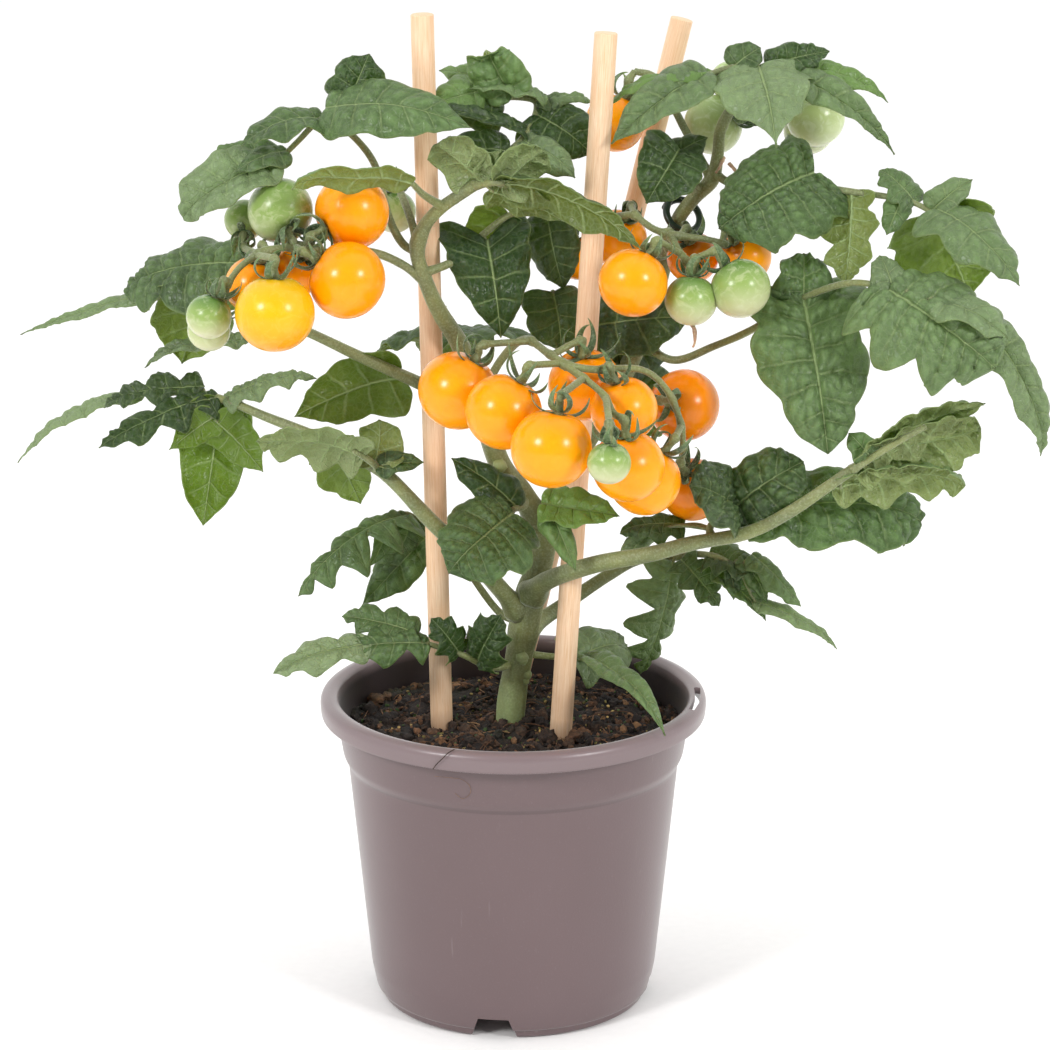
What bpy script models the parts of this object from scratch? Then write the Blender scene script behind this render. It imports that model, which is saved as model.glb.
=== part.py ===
"""Tomato plant in a 14 cm grower's pot, with its soil, canes, tie ring, stems, leaves, trusses and fruit."""

import math

import bmesh
import bpy
from mathutils import Matrix, Vector

# Everything below is in millimetres: x to the right, y to the back, z up from the middle of the pot's foot.
mm = 0.001
gap = 0.3  # between pieces that touch
bladeThickness = 0.8
potSides = 28
soilTop = 101.0
soilFloor = 10.9
caneRadius = 4.0
caneFoot = 62.0
rachisRadius = 1.5
rachisTip = 1.1
stalkRadius = 1.1
calyxDepth = 0.9
poleHeight = 0.84  # of a fruit's radius, where its stalk sits
flatAngle = 0.5  # degrees; faces that meet flatter than this are merged

# Half section of the pot wall: down the outside, under the foot, in over the floor and up the inside.
potSection = [
    (66.6, 115.0), (69.2, 114.2), (70.0, 112.2), (69.6, 107.6), (68.3, 107.6), (68.3, 112.4),
    (65.0, 112.4), (61.4, 91.6), (60.0, 90.6), (52.3, 12.0), (50.6, 3.4), (49.2, 3.0),
    (48.6, 0.0), (45.2, 0.0), (45.6, 9.0), (6.0, 9.0), (6.0, 10.6), (50.4, 10.6),
    (58.4, 90.0), (60.0, 92.4), (63.6, 114.0),
]

# Cane: foot in the soil's surface and top.
canes = {
    "cane_left": ((-26, 0, 101), (-31, -6, 361)),
    "cane_right": ((17, -13, 101), (32, -8, 355)),
    "cane_back": ((0, 36, 101), (60, 40, 353)),
}

# Stem: points along its middle, radius at the first and the last.
stems = {
    "trunk": ([(-1, 6, 78), (-1, 5, 101), (0, 5, 113), (2, 5, 125), (6, 5, 148), (10, 5, 163),
               (11, 5, 176)], 5.4, 4.6),
    "twig_left": ([(-33, -16, 284), (-36, -8, 292), (-40, 4, 299), (-42, 11, 301)], 1.5, 1.2),
    "twig_right": ([(70, 13, 300), (61, 19, 316), (51, 27, 333), (43, 28, 336)], 1.5, 1.2),
    "left_stem": ([(11, 5, 174), (3, 4, 188), (-5, 2, 200), (-12, -3, 224), (-18, -8, 244), (-25, -12, 257),
                   (-29, -14, 266), (-33, -15, 279), (-31, -17, 288), (-25, -20, 296), (-13, -24, 305)],
                  4.4, 1.9),
    "right_stem": ([(11, 5, 174), (21, 10, 196), (35, 14, 220), (47, 16, 245), (54, 16, 270), (58, 16, 284),
                    (63, 15, 292), (70, 13, 300), (72, 12, 309), (73, 10, 319), (79, 8, 331)], 4.2, 1.8),
    "low_left": ([(2, 4, 144), (-7, -6, 158), (-15, -15, 169), (-29, -18, 184), (-45, -14, 200),
                  (-60, -5, 206), (-72, 3, 210), (-88, 12, 214), (-100, 20, 217)], 3.4, 1.5),
    "mid_left": ([(-10, -2, 217), (-22, 6, 222), (-35, 9, 228), (-54, 8, 237), (-73, 9, 246),
                  (-87, 14, 250)], 2.6, 1.5),
    "low_right": ([(10, 3, 156), (10, -11, 160), (15, -22, 165), (30, -29, 171), (48, -32, 176),
                   (62, -36, 181), (81, -40, 186), (96, -44, 195), (116, -46, 210)], 4.2, 2.0),
    "back_right": ([(5, 7, 136), (17, 18, 141), (34, 24, 151), (46, 26, 157), (60, 26, 158)], 3.0, 1.8),
}

# Leaf: the stem it grows on, its rachis, and its blades (base, tip, width, way its upper side faces, shape).
leaves = {
    "leaf_top_left": ("left_stem", [(-38, -12, 282), (-43, -9, 291), (-48, -5, 309), (-57, -8, 321),
                                    (-65, -12, 326), (-74, -12, 318), (-81, -14, 311)], [
        ((-63, -15, 327), (-13, -31, 326), 30, (1, -6, 8), "oval"),
        ((-65, -13, 326), (-92, -22, 318), 22, (-2, -4, 9), "oval"),
        ((-81, -14, 311), (-115, -20, 293), 20, (0, -5, 8), "long")]),
    "leaf_long_left": ("left_stem", [(-30, -27, 302), (-34, -36, 308)], [
        ((-34, -37, 308), (-74, -54, 311), 22, (0, 7, 7), "long")]),
    "leaf_long_right": ("left_stem", [(-7, -30, 307), (-3, -32, 307)], [
        ((-6, -30, 307), (45, -42, 287), 34, (1, 7, 8), "long"),
        ((-5, -29, 305), (16, -20, 295), 18, (0, -8, 5), "small")]),
    "leaf_centre": ("left_stem", [(-20, -10, 276), (-10, -3, 284), (0, 2, 290), (12, 8, 289)], [
        ((-9, -5, 282), (-4, -16, 249), 34, (1, -9, 3), "broad"),
        ((-1, 2, 289), (-16, 8, 274), 22, (0, 9, 3), "small"),
        ((13, 8, 289), (18, 4, 262), 22, (-2, -9, 2), "long")]),
    "leaf_centre_low": ("right_stem", [(30, 18, 232), (25, 19, 244), (17, 12, 256), (14, 2, 262)], [
        ((14, 1, 262), (17, -3, 242), 24, (3, -9, 2), "small"),
        ((27, 17, 246), (64, 14, 250), 28, (0, -8, 5), "oval"),
        ((29, 20, 238), (56, 24, 232), 24, (0, -8, 5), "small"),
        ((30, 22, 234), (72, 30, 206), 20, (0, -9, 2), "long")]),
    "leaf_top_centre": ("left_stem", [(-17, -13, 300), (-8, -10, 309), (2, -4, 316), (7, 6, 322),
                                      (8, 10, 328), (2, 8, 330), (-4, 6, 330), (-11, 4, 330)], [
        ((6, 9, 330), (-16, 2, 347), 28, (-1, -7, 7), "oval"),
        ((-11, 4, 330), (-28, 0, 335), 14, (0, -8, 5), "small"),
        ((-4, 5, 329), (-25, -2, 323), 18, (0, -9, 3), "small"),
        ((7, 8, 323), (29, 4, 309), 26, (2, -8, 5), "oval"),
        ((2, -5, 315), (-24, -8, 315), 18, (0, -8, 5), "small")]),
    "leaf_crown": ("right_stem", [(81, 7, 336), (80, 4, 341), (74, 2, 341), (67, 0, 339)], [
        ((68, 0, 339), (34, -16, 317), 28, (-3, -7, 6), "cut"),
        ((67, 1, 339), (35, -2, 333), 14, (-2, -7, 6), "small"),
        ((83, 1, 342), (90, -26, 321), 34, (0, -7, 7), "broad"),
        ((84, 3, 342), (133, -6, 314), 30, (3, -6, 7), "oval"),
        ((86, 8, 340), (131, 14, 328), 16, (0, -4, 9), "long")]),
    "leaf_right_inner": ("right_stem", [(59, 7, 302), (54, 2, 311)], [
        ((54, 1, 312), (47, -12, 296), 28, (0, -9, 2), "oval")]),
    "leaf_right_top": ("right_stem", [(78, 5, 300), (98, -6, 302), (116, -14, 301), (135, -20, 299),
                                      (145, -24, 295)], [
        ((104, -12, 304), (72, -24, 286), 40, (-2, -8, 5), "broad"),
        ((117, -14, 300), (115, -26, 271), 22, (5, -8, 2), "long"),
        ((145, -21, 294), (160, -8, 262), 40, (0, 9, 2), "broad"),
        ((145, -26, 296), (171, -48, 276), 26, (3, -6, 7), "oval")]),
    "leaf_right_middle": ("right_stem", [(57, 8, 236), (71, 0, 243), (84, -8, 251), (99, -20, 264),
                                         (115, -34, 273), (129, -44, 273), (144, -50, 270), (159, -54, 264)], [
        ((99, -23, 265), (106, -50, 217), 42, (0, -9, 3), "broad"),
        ((100, -22, 265), (103, -12, 277), 20, (0, -6, 8), "small"),
        ((122, -42, 274), (157, -66, 246), 42, (1, -8, 6), "broad"),
        ((143, -52, 271), (166, -64, 260), 18, (3, -6, 7), "small"),
        ((159, -54, 264), (183, -50, 216), 20, (6, -7, 3), "long")]),
    "leaf_low_right": ("low_right", [(129, -48, 219), (141, -48, 226)], [
        ((131, -48, 220), (161, -44, 235), 24, (0, 9, 4), "toothed"),
        ((125, -47, 216), (167, -36, 219), 32, (1, 9, 4), "cut"),
        ((120, -46, 212), (157, -44, 201), 22, (0, 8, 6), "toothed")]),
    "leaf_low_right_side": ("low_right", [(69, -34, 187), (77, -34, 193)], [
        ((77, -35, 194), (61, -46, 205), 24, (0, -8, 6), "small"),
        ((78, -34, 194), (101, -34, 211), 24, (0, -8, 6), "small"),
        ((79, -32, 192), (146, -20, 185), 30, (0, -7, 6), "oval")]),
    "leaf_low_right_back": ("back_right", [(66, 22, 160), (75, 13, 161), (83, 6, 157)], [
        ((74, 13, 161), (103, 2, 149), 22, (3, -7, 6), "toothed"),
        ((67, 20, 160), (74, 8, 146), 14, (3, -9, 3), "small"),
        ((83, 6, 157), (116, -4, 133), 16, (3, 8, 5), "long"),
        ((63, 23, 158), (49, 24, 112), 24, (4, -9, 0), "toothed")]),
    "leaf_soil_right": ("trunk", [(12, 6, 126), (23, 4, 126)], [
        ((24, 2, 126), (54, -52, 115), 13, (2, -6, 8), "long"),
        ((19, 5, 126), (38, 28, 118), 22, (0, -7, 7), "oval")]),
    "leaf_low_left_bottom": ("trunk", [(-8, -4, 125), (-18, -11, 132), (-30, -14, 137)], [
        ((-30, -14, 137), (-85, -30, 132), 24, (0, -6, 8), "toothed"),
        ((-24, -13, 135), (-58, -10, 147), 16, (0, -7, 7), "small"),
        ((-12, -8, 129), (-6, -20, 150), 14, (0, -8, 6), "small")]),
    "leaf_low_left_cut": ("trunk", [(-5, 11, 141), (-18, 14, 158), (-29, 15, 172), (-38, 12, 178)], [
        ((-38, 12, 178), (-79, -8, 152), 24, (0, -8, 5), "toothed"),
        ((-29, 15, 171), (-55, 6, 145), 22, (0, -9, 4), "oval")]),
    "leaf_heart": ("left_stem", [(4, -6, 186), (0, -14, 187), (-2, -18, 185)], [
        ((-2, -19, 184), (-25, -36, 167), 36, (-1, -8, 5), "broad"),
        ((1, -11, 187), (-22, -4, 203), 16, (0, -7, 7), "small")]),
    "leaf_low_left": ("low_left", [(-49, -18, 205), (-55, -21, 210)], [
        ((-52, -20, 208), (-89, -34, 217), 26, (0, 8, 6), "cut"),
        ((-47, -17, 204), (-47, -10, 219), 22, (3, 9, 2), "small")]),
    "leaf_left_far": ("low_left", [(-108, 26, 218), (-121, 34, 219), (-132, 42, 217)], [
        ((-104, 24, 217), (-112, 10, 174), 34, (0, 9, 1), "cut"),
        ((-106, 25, 218), (-151, 22, 200), 18, (0, -6, 8), "toothed"),
        ((-132, 42, 217), (-185, 62, 183), 15, (0, 7, 7), "long"),
        ((-112, 29, 219), (-150, 38, 211), 14, (0, -5, 8), "small")]),
    "leaf_left_upper": ("mid_left", [(-93, 18, 256), (-98, 22, 264), (-109, 26, 259), (-122, 34, 254),
                                     (-132, 40, 251)], [
        ((-99, 22, 264), (-142, 42, 253), 34, (0, -6, 8), "broad"),
        ((-111, 28, 257), (-121, 42, 226), 28, (0, 9, 2), "oval")]),
    "leaf_left_inner": ("mid_left", [(-40, 11, 229)], [
        ((-40, 11, 229), (-76, 4, 216), 32, (0, 9, 2), "broad")]),
    "leaf_under_truss": ("right_stem", [(14, -6, 188), (12, -21, 190)], [
        ((12, -21, 190), (38, -34, 195), 20, (0, -3, 9), "small")]),
    "leaf_back_left": ("left_stem", [(-14, 22, 232), (-20, 46, 236), (-24, 64, 234)], [
        ((-24, 64, 234), (-20, 99, 212), 34, (0, 3, 9), "broad"),
        ((-19, 46, 236), (-52, 62, 226), 26, (-2, 2, 9), "small"),
        ((-20, 50, 236), (10, 68, 228), 26, (2, 2, 9), "oval")]),
    "leaf_back_right": ("right_stem", [(30, 28, 202), (40, 48, 208), (46, 66, 206)], [
        ((46, 66, 206), (50, 99, 184), 34, (0, 3, 9), "broad"),
        ((39, 47, 208), (12, 64, 198), 26, (-2, 2, 9), "oval"),
        ((41, 50, 208), (72, 62, 198), 26, (2, 2, 9), "oval")]),
}

# Blade shape: lobes a side, how deep they are cut, fold up along the midrib, rise of the midrib over
# its length.
shapes = {
    "broad": (4, 0.22, 0.12, 0.10),
    "cut": (4, 0.45, 0.15, 0.08),
    "toothed": (3, 0.45, 0.15, 0.08),
    "long": (3, 0.20, 0.20, 0.08),
    "oval": (3, 0.22, 0.12, 0.10),
    "small": (2, 0.20, 0.0, 0.10),
}

# Truss: the stem it grows on and its stalks, each starting on that stem or on a stalk before it.
trusses = {
    "truss_left": ("left_stem", [
        [(-29, -14, 267), (-37, -16, 275), (-49, -20, 281), (-62, -27, 282), (-72, -30, 285),
         (-84, -34, 284), (-92, -38, 280), (-97, -42, 274)]]),
    "truss_middle": ("left_stem", [
        [(-12, -3, 224), (-4, -8, 240), (4, -20, 250), (12, -36, 249), (18, -46, 247), (30, -60, 241),
         (34, -70, 236)],
        [(18, -46, 247), (28, -48, 246), (44, -40, 244), (53, -36, 236), (58, -36, 224), (59, -35, 214)]]),
    "truss_right": ("right_stem", [
        [(56, 8, 274), (53, 0, 281), (55, -12, 285), (66, -17, 285), (74, -18, 283)],
        [(55, -12, 285), (57, -22, 282), (60, -28, 279)],
        [(54, -10, 285), (48, -13, 288), (42, -9, 292)]]),
    "truss_top": ("right_stem", [
        [(73, 10, 319), (78, 16, 328), (84, 24, 335), (92, 26, 334), (99, 25, 332)]]),
}

# Fruit: middle, radius, way its stalk points, colour, truss or stem. Fruit in one list has grown together.
fruit = {
    "fruit_left_green": [((-80, -18, 295), 11.4, (3, -8, -5), "green", "truss_left"),
                         ((-93, -9, 290), 7.2, (0, -8, -6), "green", "truss_left")],
    "fruit_left_upper": [((-55, -25, 296), 13.0, (-8, -5, -4), "ripe", "truss_left")],
    "fruit_left_middle": [((-56, -43, 276), 13.2, (-8, 1, 5), "ripe", "truss_left")],
    "fruit_left_yellow": [((-80, -54, 267), 13.5, (0, 1, 10), "yellow", "truss_left")],
    "fruit_left_back": [((-89, -24, 270), 10.3, (2, -2, 9), "ripe", "truss_left"),
                        ((-74, -17, 274), 8.9, (3, -6, 7), "ripe", "truss_left")],
    "fruit_left_small": [((-103, -46, 264), 7.8, (4, 1, 9), "green", "truss_left"),
                         ((-104, -36, 257), 7.4, (4, 3, 8), "green", "truss_left")],
    "fruit_left_inner": [((-42, 16, 288), 7.8, (0, 1, 9), "green", "twig_left")],
    "fruit_middle_1": [((-19, -33, 235), 13.8, (5, 0, 9), "ripe", "truss_middle")],
    "fruit_middle_2": [((-3, -55, 233), 13.2, (5, 1, 9), "ripe", "truss_middle")],
    "fruit_middle_3": [((13, -77, 226), 13.7, (2, 1, 10), "ripe", "truss_middle")],
    "fruit_middle_4": [((25, -28.5, 236), 12.8, (-1, -3, 10), "ripe", "truss_middle")],
    "fruit_middle_5": [((38, -48, 232), 11.6, (-3, -1, 9), "ripe", "truss_middle")],
    "fruit_middle_low": [((39, -70, 218), 12.4, (-1, -2, 10), "ripe", "truss_middle"),
                         ((45, -50, 208), 12.7, (6, 1, 8), "ripe", "truss_middle")],
    "fruit_middle_last": [((63, -20, 196), 11.2, (-3, -6, 8), "deep", "truss_middle")],
    "fruit_middle_side": [((60, -14, 225), 12.6, (-5, -8, 3), "deep", "truss_middle")],
    "fruit_middle_green": [((32, -92, 225), 7.3, (0, 2, 10), "green", "truss_middle")],
    "fruit_right_front": [((41, -38, 274), 11.9, (5, 4, 8), "ripe", "truss_right")],
    "fruit_right_back": [((37, 8, 280), 10.4, (3, -5, 9), "ripe", "truss_right"),
                         ((23, 12, 272), 7.8, (-2, 1, 9), "ripe", "truss_right")],
    "fruit_right_side": [((81, -5, 276), 9.4, (-5, -4, 8), "ripe", "truss_right")],
    "fruit_right_inner": [((63, -1, 275), 9.1, (-2, -6, 9), "deep", "truss_right")],
    "fruit_right_green": [((61, -34, 267), 9.0, (1, 2, 10), "green", "truss_right"),
                          ((78, -33, 271), 10.4, (-6, 3, 8), "green", "truss_right")],
    "fruit_top_green": [((71, 28, 317), 10.6, (8, -5, 4), "pale", "truss_top"),
                        ((77, 31, 332), 7.2, (6, -3, 6), "pale", "truss_top")],
    "fruit_top_right": [((107, 24, 320), 10.6, (-6, 1, 8), "pale", "truss_top")],
    "fruit_top_back": [((36, 26, 318), 10.6, (3, 1, 9), "ripe", "twig_right")],
}

ringPlace = (60, 15, 287)
ringFacing = (4, -8, 7)

# Material: colour, roughness, metallic.
materials = {
    "pot": ((0.255, 0.212, 0.220), 0.45, 0.0),
    "soil": ((0.030, 0.020, 0.014), 0.95, 0.0),
    "cane": ((0.800, 0.600, 0.410), 0.60, 0.0),
    "ring": ((0.010, 0.020, 0.014), 0.40, 0.0),
    "stem": ((0.160, 0.260, 0.070), 0.55, 0.0),
    "leaf": ((0.060, 0.150, 0.035), 0.50, 0.0),
    "ripe": ((0.900, 0.300, 0.005), 0.25, 0.0),
    "deep": ((0.720, 0.180, 0.004), 0.25, 0.0),
    "yellow": ((0.850, 0.500, 0.015), 0.25, 0.0),
    "green": ((0.220, 0.360, 0.110), 0.28, 0.0),
    "pale": ((0.420, 0.560, 0.260), 0.30, 0.0),
}


def clearScene():
    for item in list(bpy.data.objects):
        bpy.data.objects.remove(item)


def makeCollections():
    plant = bpy.data.collections.new("tomato_plant")
    cutters = bpy.data.collections.new("cutters")
    for collection in (plant, cutters):
        bpy.context.scene.collection.children.link(collection)
    cutters.hide_render = True
    return plant, cutters


def makeMaterials():
    made = {}
    for name, (colour, roughness, metallic) in materials.items():
        made[name] = bpy.data.materials.new(name)
        made[name].use_nodes = True
        shader = made[name].node_tree.nodes["Principled BSDF"]
        shader.inputs["Base Color"].default_value = (*colour, 1)
        shader.inputs["Roughness"].default_value = roughness
        shader.inputs["Metallic"].default_value = metallic
    return made


def addMesh(name, mesh, material=None, collection=None):
    item = bpy.data.objects.new(name, mesh)
    (collection or plant).objects.link(item)
    if material:
        mesh.materials.clear()
        mesh.materials.append(made[material])
    return item


def fromBmesh(name, bm, material=None, collection=None):
    mesh = bpy.data.meshes.new(name)
    bm.to_mesh(mesh)
    bm.free()
    return addMesh(name, mesh, material, collection)


def evaluatedMesh(item):
    bpy.context.view_layer.update()
    return bpy.data.meshes.new_from_object(item.evaluated_get(bpy.context.evaluated_depsgraph_get()))


def asCutter(item):
    item.display_type = "WIRE"
    item.hide_render = True
    for collection in list(item.users_collection):
        collection.objects.unlink(item)
    cutters.objects.link(item)
    return item


def cut(item, cutter, operation="DIFFERENCE"):
    modifier = item.modifiers.new(cutter.name, "BOOLEAN")
    modifier.object = cutter
    modifier.operation = operation


def nearest(line, point):
    """The place on a line of points that is nearest to a point."""
    best = None
    for a, b in zip(line, line[1:]):
        along = max(0, min(1, (point - a).dot(b - a) / max((b - a).length_squared, 1e-9)))
        place = a.lerp(b, along)
        if best is None or (place - point).length < (best - point).length:
            best = place
    return best


def tube(name, points, start, end, sides=1):
    """A round stem through the points. Sides: 0 gives four, 1 gives six, 2 gives eight."""
    curve = bpy.data.curves.new(name, "CURVE")
    curve.dimensions = "3D"
    curve.bevel_depth = mm
    curve.bevel_resolution = sides
    curve.use_fill_caps = True
    spline = curve.splines.new("POLY")
    spline.points.add(len(points) - 1)
    for index, (knot, place) in enumerate(zip(spline.points, points)):
        knot.co = (*(Vector(place) * mm), 1)
        knot.radius = start + (end - start) * index / (len(points) - 1)
    source = bpy.data.objects.new(name, curve)
    plant.objects.link(source)
    mesh = evaluatedMesh(source)
    bpy.data.objects.remove(source)
    bm = bmesh.new()
    bm.from_mesh(mesh)
    bmesh.ops.remove_doubles(bm, verts=bm.verts, dist=1e-6)
    bmesh.ops.recalc_face_normals(bm, faces=bm.faces)
    return fromBmesh(name, bm)


def midrib(base, tip, facing, rise):
    """A function from 0 at the base to 1 at the tip, and the blade's upward and sideways directions."""
    base, tip, facing = Vector(base), Vector(tip), Vector(facing)
    along = tip - base
    up = (facing - along * facing.dot(along) / along.length_squared).normalized()
    crest = base.lerp(tip, 0.5) + up * rise * 2 * along.length
    side = along.cross(up).normalized()
    return (lambda s: (1 - s) ** 2 * base + 2 * s * (1 - s) * crest + s * s * tip), up, side


def halfWidth(width, s, lobes, depth):
    """Half the width of a leaflet at a station from base to tip, with its lobes."""
    outline = 2.2 * ((s + 0.003) / 1.003) ** 0.45 * max(1 - s, 0) ** 0.8
    notch = 0.5 + 0.5 * math.cos(2 * math.pi * lobes * s)
    return max(0.5 * width * outline * (1 - depth * notch), 0.4)


def blade(name, base, tip, width, facing, shape):
    """A lobed leaflet: a grid bent along its midrib. Lobes point back at the base and forward at the tip."""
    lobes, depth, fold, rise = shapes[shape]
    spine, up, side = midrib(base, tip, facing, rise)
    length = (Vector(tip) - Vector(base)).length
    bm = bmesh.new()
    bmesh.ops.create_grid(bm, x_segments=2 if fold else 1, y_segments=2 * lobes, size=1)
    for vertex in bm.verts:
        t, s = vertex.co.x, (vertex.co.y + 1) / 2
        half = halfWidth(width, s, lobes, depth)
        shift = abs(t) * half * (1.2 * s - 0.45) * min(1, 3 * (1 - s)) / length
        place = spine(min(max(s + shift, -0.25), 1.02))
        place += side * t * half + up * abs(t) * half * fold
        vertex.co = place * mm
    bmesh.ops.triangulate(bm, faces=bm.faces)
    item = fromBmesh(name, bm)
    solid = item.modifiers.new("thickness", "SOLIDIFY")
    solid.thickness = bladeThickness * mm
    solid.offset = 0
    return item


def fuse(name, pieces, material, cutter=None):
    """Joins the pieces into one solid, cut clear of what it grows on."""
    group = bpy.data.collections.new(name + "_pieces")
    bpy.context.scene.collection.children.link(group)
    for piece in pieces[1:]:
        plant.objects.unlink(piece)
        group.objects.link(piece)
    if len(pieces) > 1:
        union = pieces[0].modifiers.new("union", "BOOLEAN")
        union.operand_type = "COLLECTION"
        union.collection = group
        union.operation = "UNION"
        union.solver = "MANIFOLD"
    if cutter:
        seat = pieces[0].modifiers.new("seat", "BOOLEAN")
        seat.object = cutter
        seat.operation = "DIFFERENCE"
        seat.solver = "MANIFOLD"
    mesh = evaluatedMesh(pieces[0])
    for piece in pieces:
        bpy.data.objects.remove(piece)
    bpy.data.collections.remove(group)
    bm = bmesh.new()
    bm.from_mesh(mesh)
    bmesh.ops.dissolve_limit(bm, angle_limit=math.radians(flatAngle), verts=bm.verts, edges=bm.edges)
    bmesh.ops.triangulate(bm, faces=bm.faces)
    dropScraps(bm)
    return fromBmesh(name, bm, material)


def dropScraps(bm):
    """Removes all but the largest connected piece."""
    left = set(bm.verts)
    pieces = []
    while left:
        piece = {left.pop()}
        edge = list(piece)
        while edge:
            near = {link.other_vert(vertex) for vertex in edge for link in vertex.link_edges} - piece
            piece |= near
            edge = list(near)
        left -= piece
        pieces.append(piece)
    pieces.sort(key=len)
    bmesh.ops.delete(bm, geom=[vertex for piece in pieces[:-1] for vertex in piece], context="VERTS")


def makePot():
    mesh = bpy.data.meshes.new("pot")
    count = len(potSection)
    outline = [(r * mm, 0, z * mm) for r, z in potSection]
    mesh.from_pydata(outline, [(i, (i + 1) % count) for i in range(count)], [])
    pot = addMesh("pot", mesh, "pot")
    turn = pot.modifiers.new("turn", "SCREW")
    turn.steps = turn.render_steps = potSides
    turn.use_merge_vertices = True
    turn.merge_threshold = 0.00001
    for index in range(4):
        cut(pot, footNotch(index))
    for index in range(4):
        cut(pot, drainHole(index))
    for angle in (-13, 1):
        cut(pot, rimSlot(angle))


def footNotch(index):
    """A cutter for one of the four openings in the foot, wider at the floor than above."""
    bm = bmesh.new()
    bmesh.ops.create_cube(bm, size=1)
    for vertex in bm.verts:
        half = 9.0 if vertex.co.z < 0 else 5.5
        vertex.co = Vector((20 * vertex.co.x, 2 * half * vertex.co.y, 8.0 if vertex.co.z > 0 else -2.0)) * mm
    item = asCutter(fromBmesh(f"foot_notch_{index}", bm))
    turn = Matrix.Rotation(math.radians(90 * index - 98), 4, "Z")
    item.matrix_world = turn @ Matrix.Translation((50 * mm, 0, 0))
    return item


def drainHole(index):
    bm = bmesh.new()
    bmesh.ops.create_cone(bm, cap_ends=True, segments=8, radius1=3.5 * mm, radius2=3.5 * mm, depth=6 * mm)
    item = asCutter(fromBmesh(f"drain_hole_{index}", bm))
    angle = math.radians(90 * index - 53)
    item.location = (34 * mm * math.cos(angle), 34 * mm * math.sin(angle), 9.8 * mm)
    return item


def rimSlot(angle):
    """A cutter for a hanger slot through the rim, between the wall and the lip."""
    bm = bmesh.new()
    bmesh.ops.create_cube(bm, size=1)
    bmesh.ops.scale(bm, verts=bm.verts, vec=Vector((2.2, 8.0, 6.0)) * mm)
    item = asCutter(fromBmesh(f"rim_slot_{angle + 20}", bm))
    item.matrix_world = Matrix.Rotation(math.radians(angle), 4, "Z") @ Matrix.Translation(
        (66.8 * mm, 0, 114.0 * mm))
    return item


def soilHeight(x, y):
    """Lumps in the soil's surface."""
    return 1.0 * math.sin(0.17 * x + 1.3) * math.cos(0.21 * y) + 0.6 * math.sin(0.31 * x - 0.27 * y)


def makeSoil():
    rings = [(50.0, soilFloor), (57.9, 90.2), (59.5, 92.6), (60.9, soilTop)]
    rings += [(radius, soilTop) for radius in (44, 27, 12)]
    bm = bmesh.new()
    profile = [bm.verts.new((r * mm, 0, z * mm)) for r, z in rings]
    edges = [bm.edges.new(pair) for pair in zip(profile, profile[1:])]
    bmesh.ops.spin(bm, geom=profile + edges, axis=(0, 0, 1), cent=(0, 0, 0), angle=2 * math.pi,
                   steps=potSides, use_merge=True)
    bmesh.ops.holes_fill(bm, edges=bm.edges, sides=potSides)
    bmesh.ops.triangulate(bm, faces=bm.faces)
    bmesh.ops.recalc_face_normals(bm, faces=bm.faces)
    for vertex in bm.verts:
        x, y, z = vertex.co / mm
        if z > soilTop - 1 and math.hypot(x, y) < 60:
            vertex.co.z += soilHeight(x, y) * mm
    soil = fromBmesh("soil", bm, "soil")
    for name, (foot, top) in canes.items():
        foot, top = Vector(foot), Vector(top)
        down = (foot - top).normalized() * (foot.z - caneFoot + gap)
        hole = tube(name + "_hole", [foot + down, foot - down.normalized() * 20], caneRadius + 2 * gap,
                    caneRadius + 2 * gap, sides=3)
        cut(soil, asCutter(hole))
    cut(soil, seats["trunk"])


def makeCanes():
    for name, (foot, top) in canes.items():
        foot, top = Vector(foot), Vector(top)
        along = (top - foot).normalized()
        start = foot - along * (foot.z - caneFoot)
        length = (top - start).length
        bpy.ops.mesh.primitive_cylinder_add(vertices=10, radius=caneRadius * mm, depth=length * mm)
        cane = bpy.context.object
        cane.name = name
        cane.location = start.lerp(top, 0.5) * mm
        cane.rotation_mode = "QUATERNION"
        cane.rotation_quaternion = along.to_track_quat("Z", "X")
        for collection in list(cane.users_collection):
            collection.objects.unlink(cane)
        plant.objects.link(cane)
        cane.data.materials.append(made["cane"])


def makeRing():
    bpy.ops.mesh.primitive_torus_add(major_segments=12, minor_segments=5, major_radius=6.6 * mm,
                                     minor_radius=1.4 * mm)
    ring = bpy.context.object
    ring.name = "tie_ring"
    ring.location = Vector(ringPlace) * mm
    ring.rotation_mode = "QUATERNION"
    ring.rotation_quaternion = Vector(ringFacing).to_track_quat("Z", "X")
    for collection in list(ring.users_collection):
        collection.objects.unlink(ring)
    plant.objects.link(ring)
    ring.data.materials.append(made["ring"])


def stemLine(name):
    """The points along the middle of a stem."""
    return [Vector(place) for place in stems[name][0]]


def stalkPieces(places, lines):
    """Stalk and calyx of each fruit, the stalk running to the nearest of the lines."""
    pieces = []
    for index, (middle, radius, axis) in enumerate(places):
        middle, axis = Vector(middle), Vector(axis).normalized()
        top = middle + axis * ((poleHeight + 0.02) * radius + gap + calyxDepth)
        bend = top + axis * 6
        join = min((nearest(line, bend) for line in lines), key=lambda p: (p - bend).length)
        pieces.append(tube(f"stalk_{index}", [top, bend, join], stalkRadius, stalkRadius, sides=0))
        pieces.append(makeCalyx(f"calyx_{index}", top, axis, 0.5 * radius + 3))
    return pieces


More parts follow.
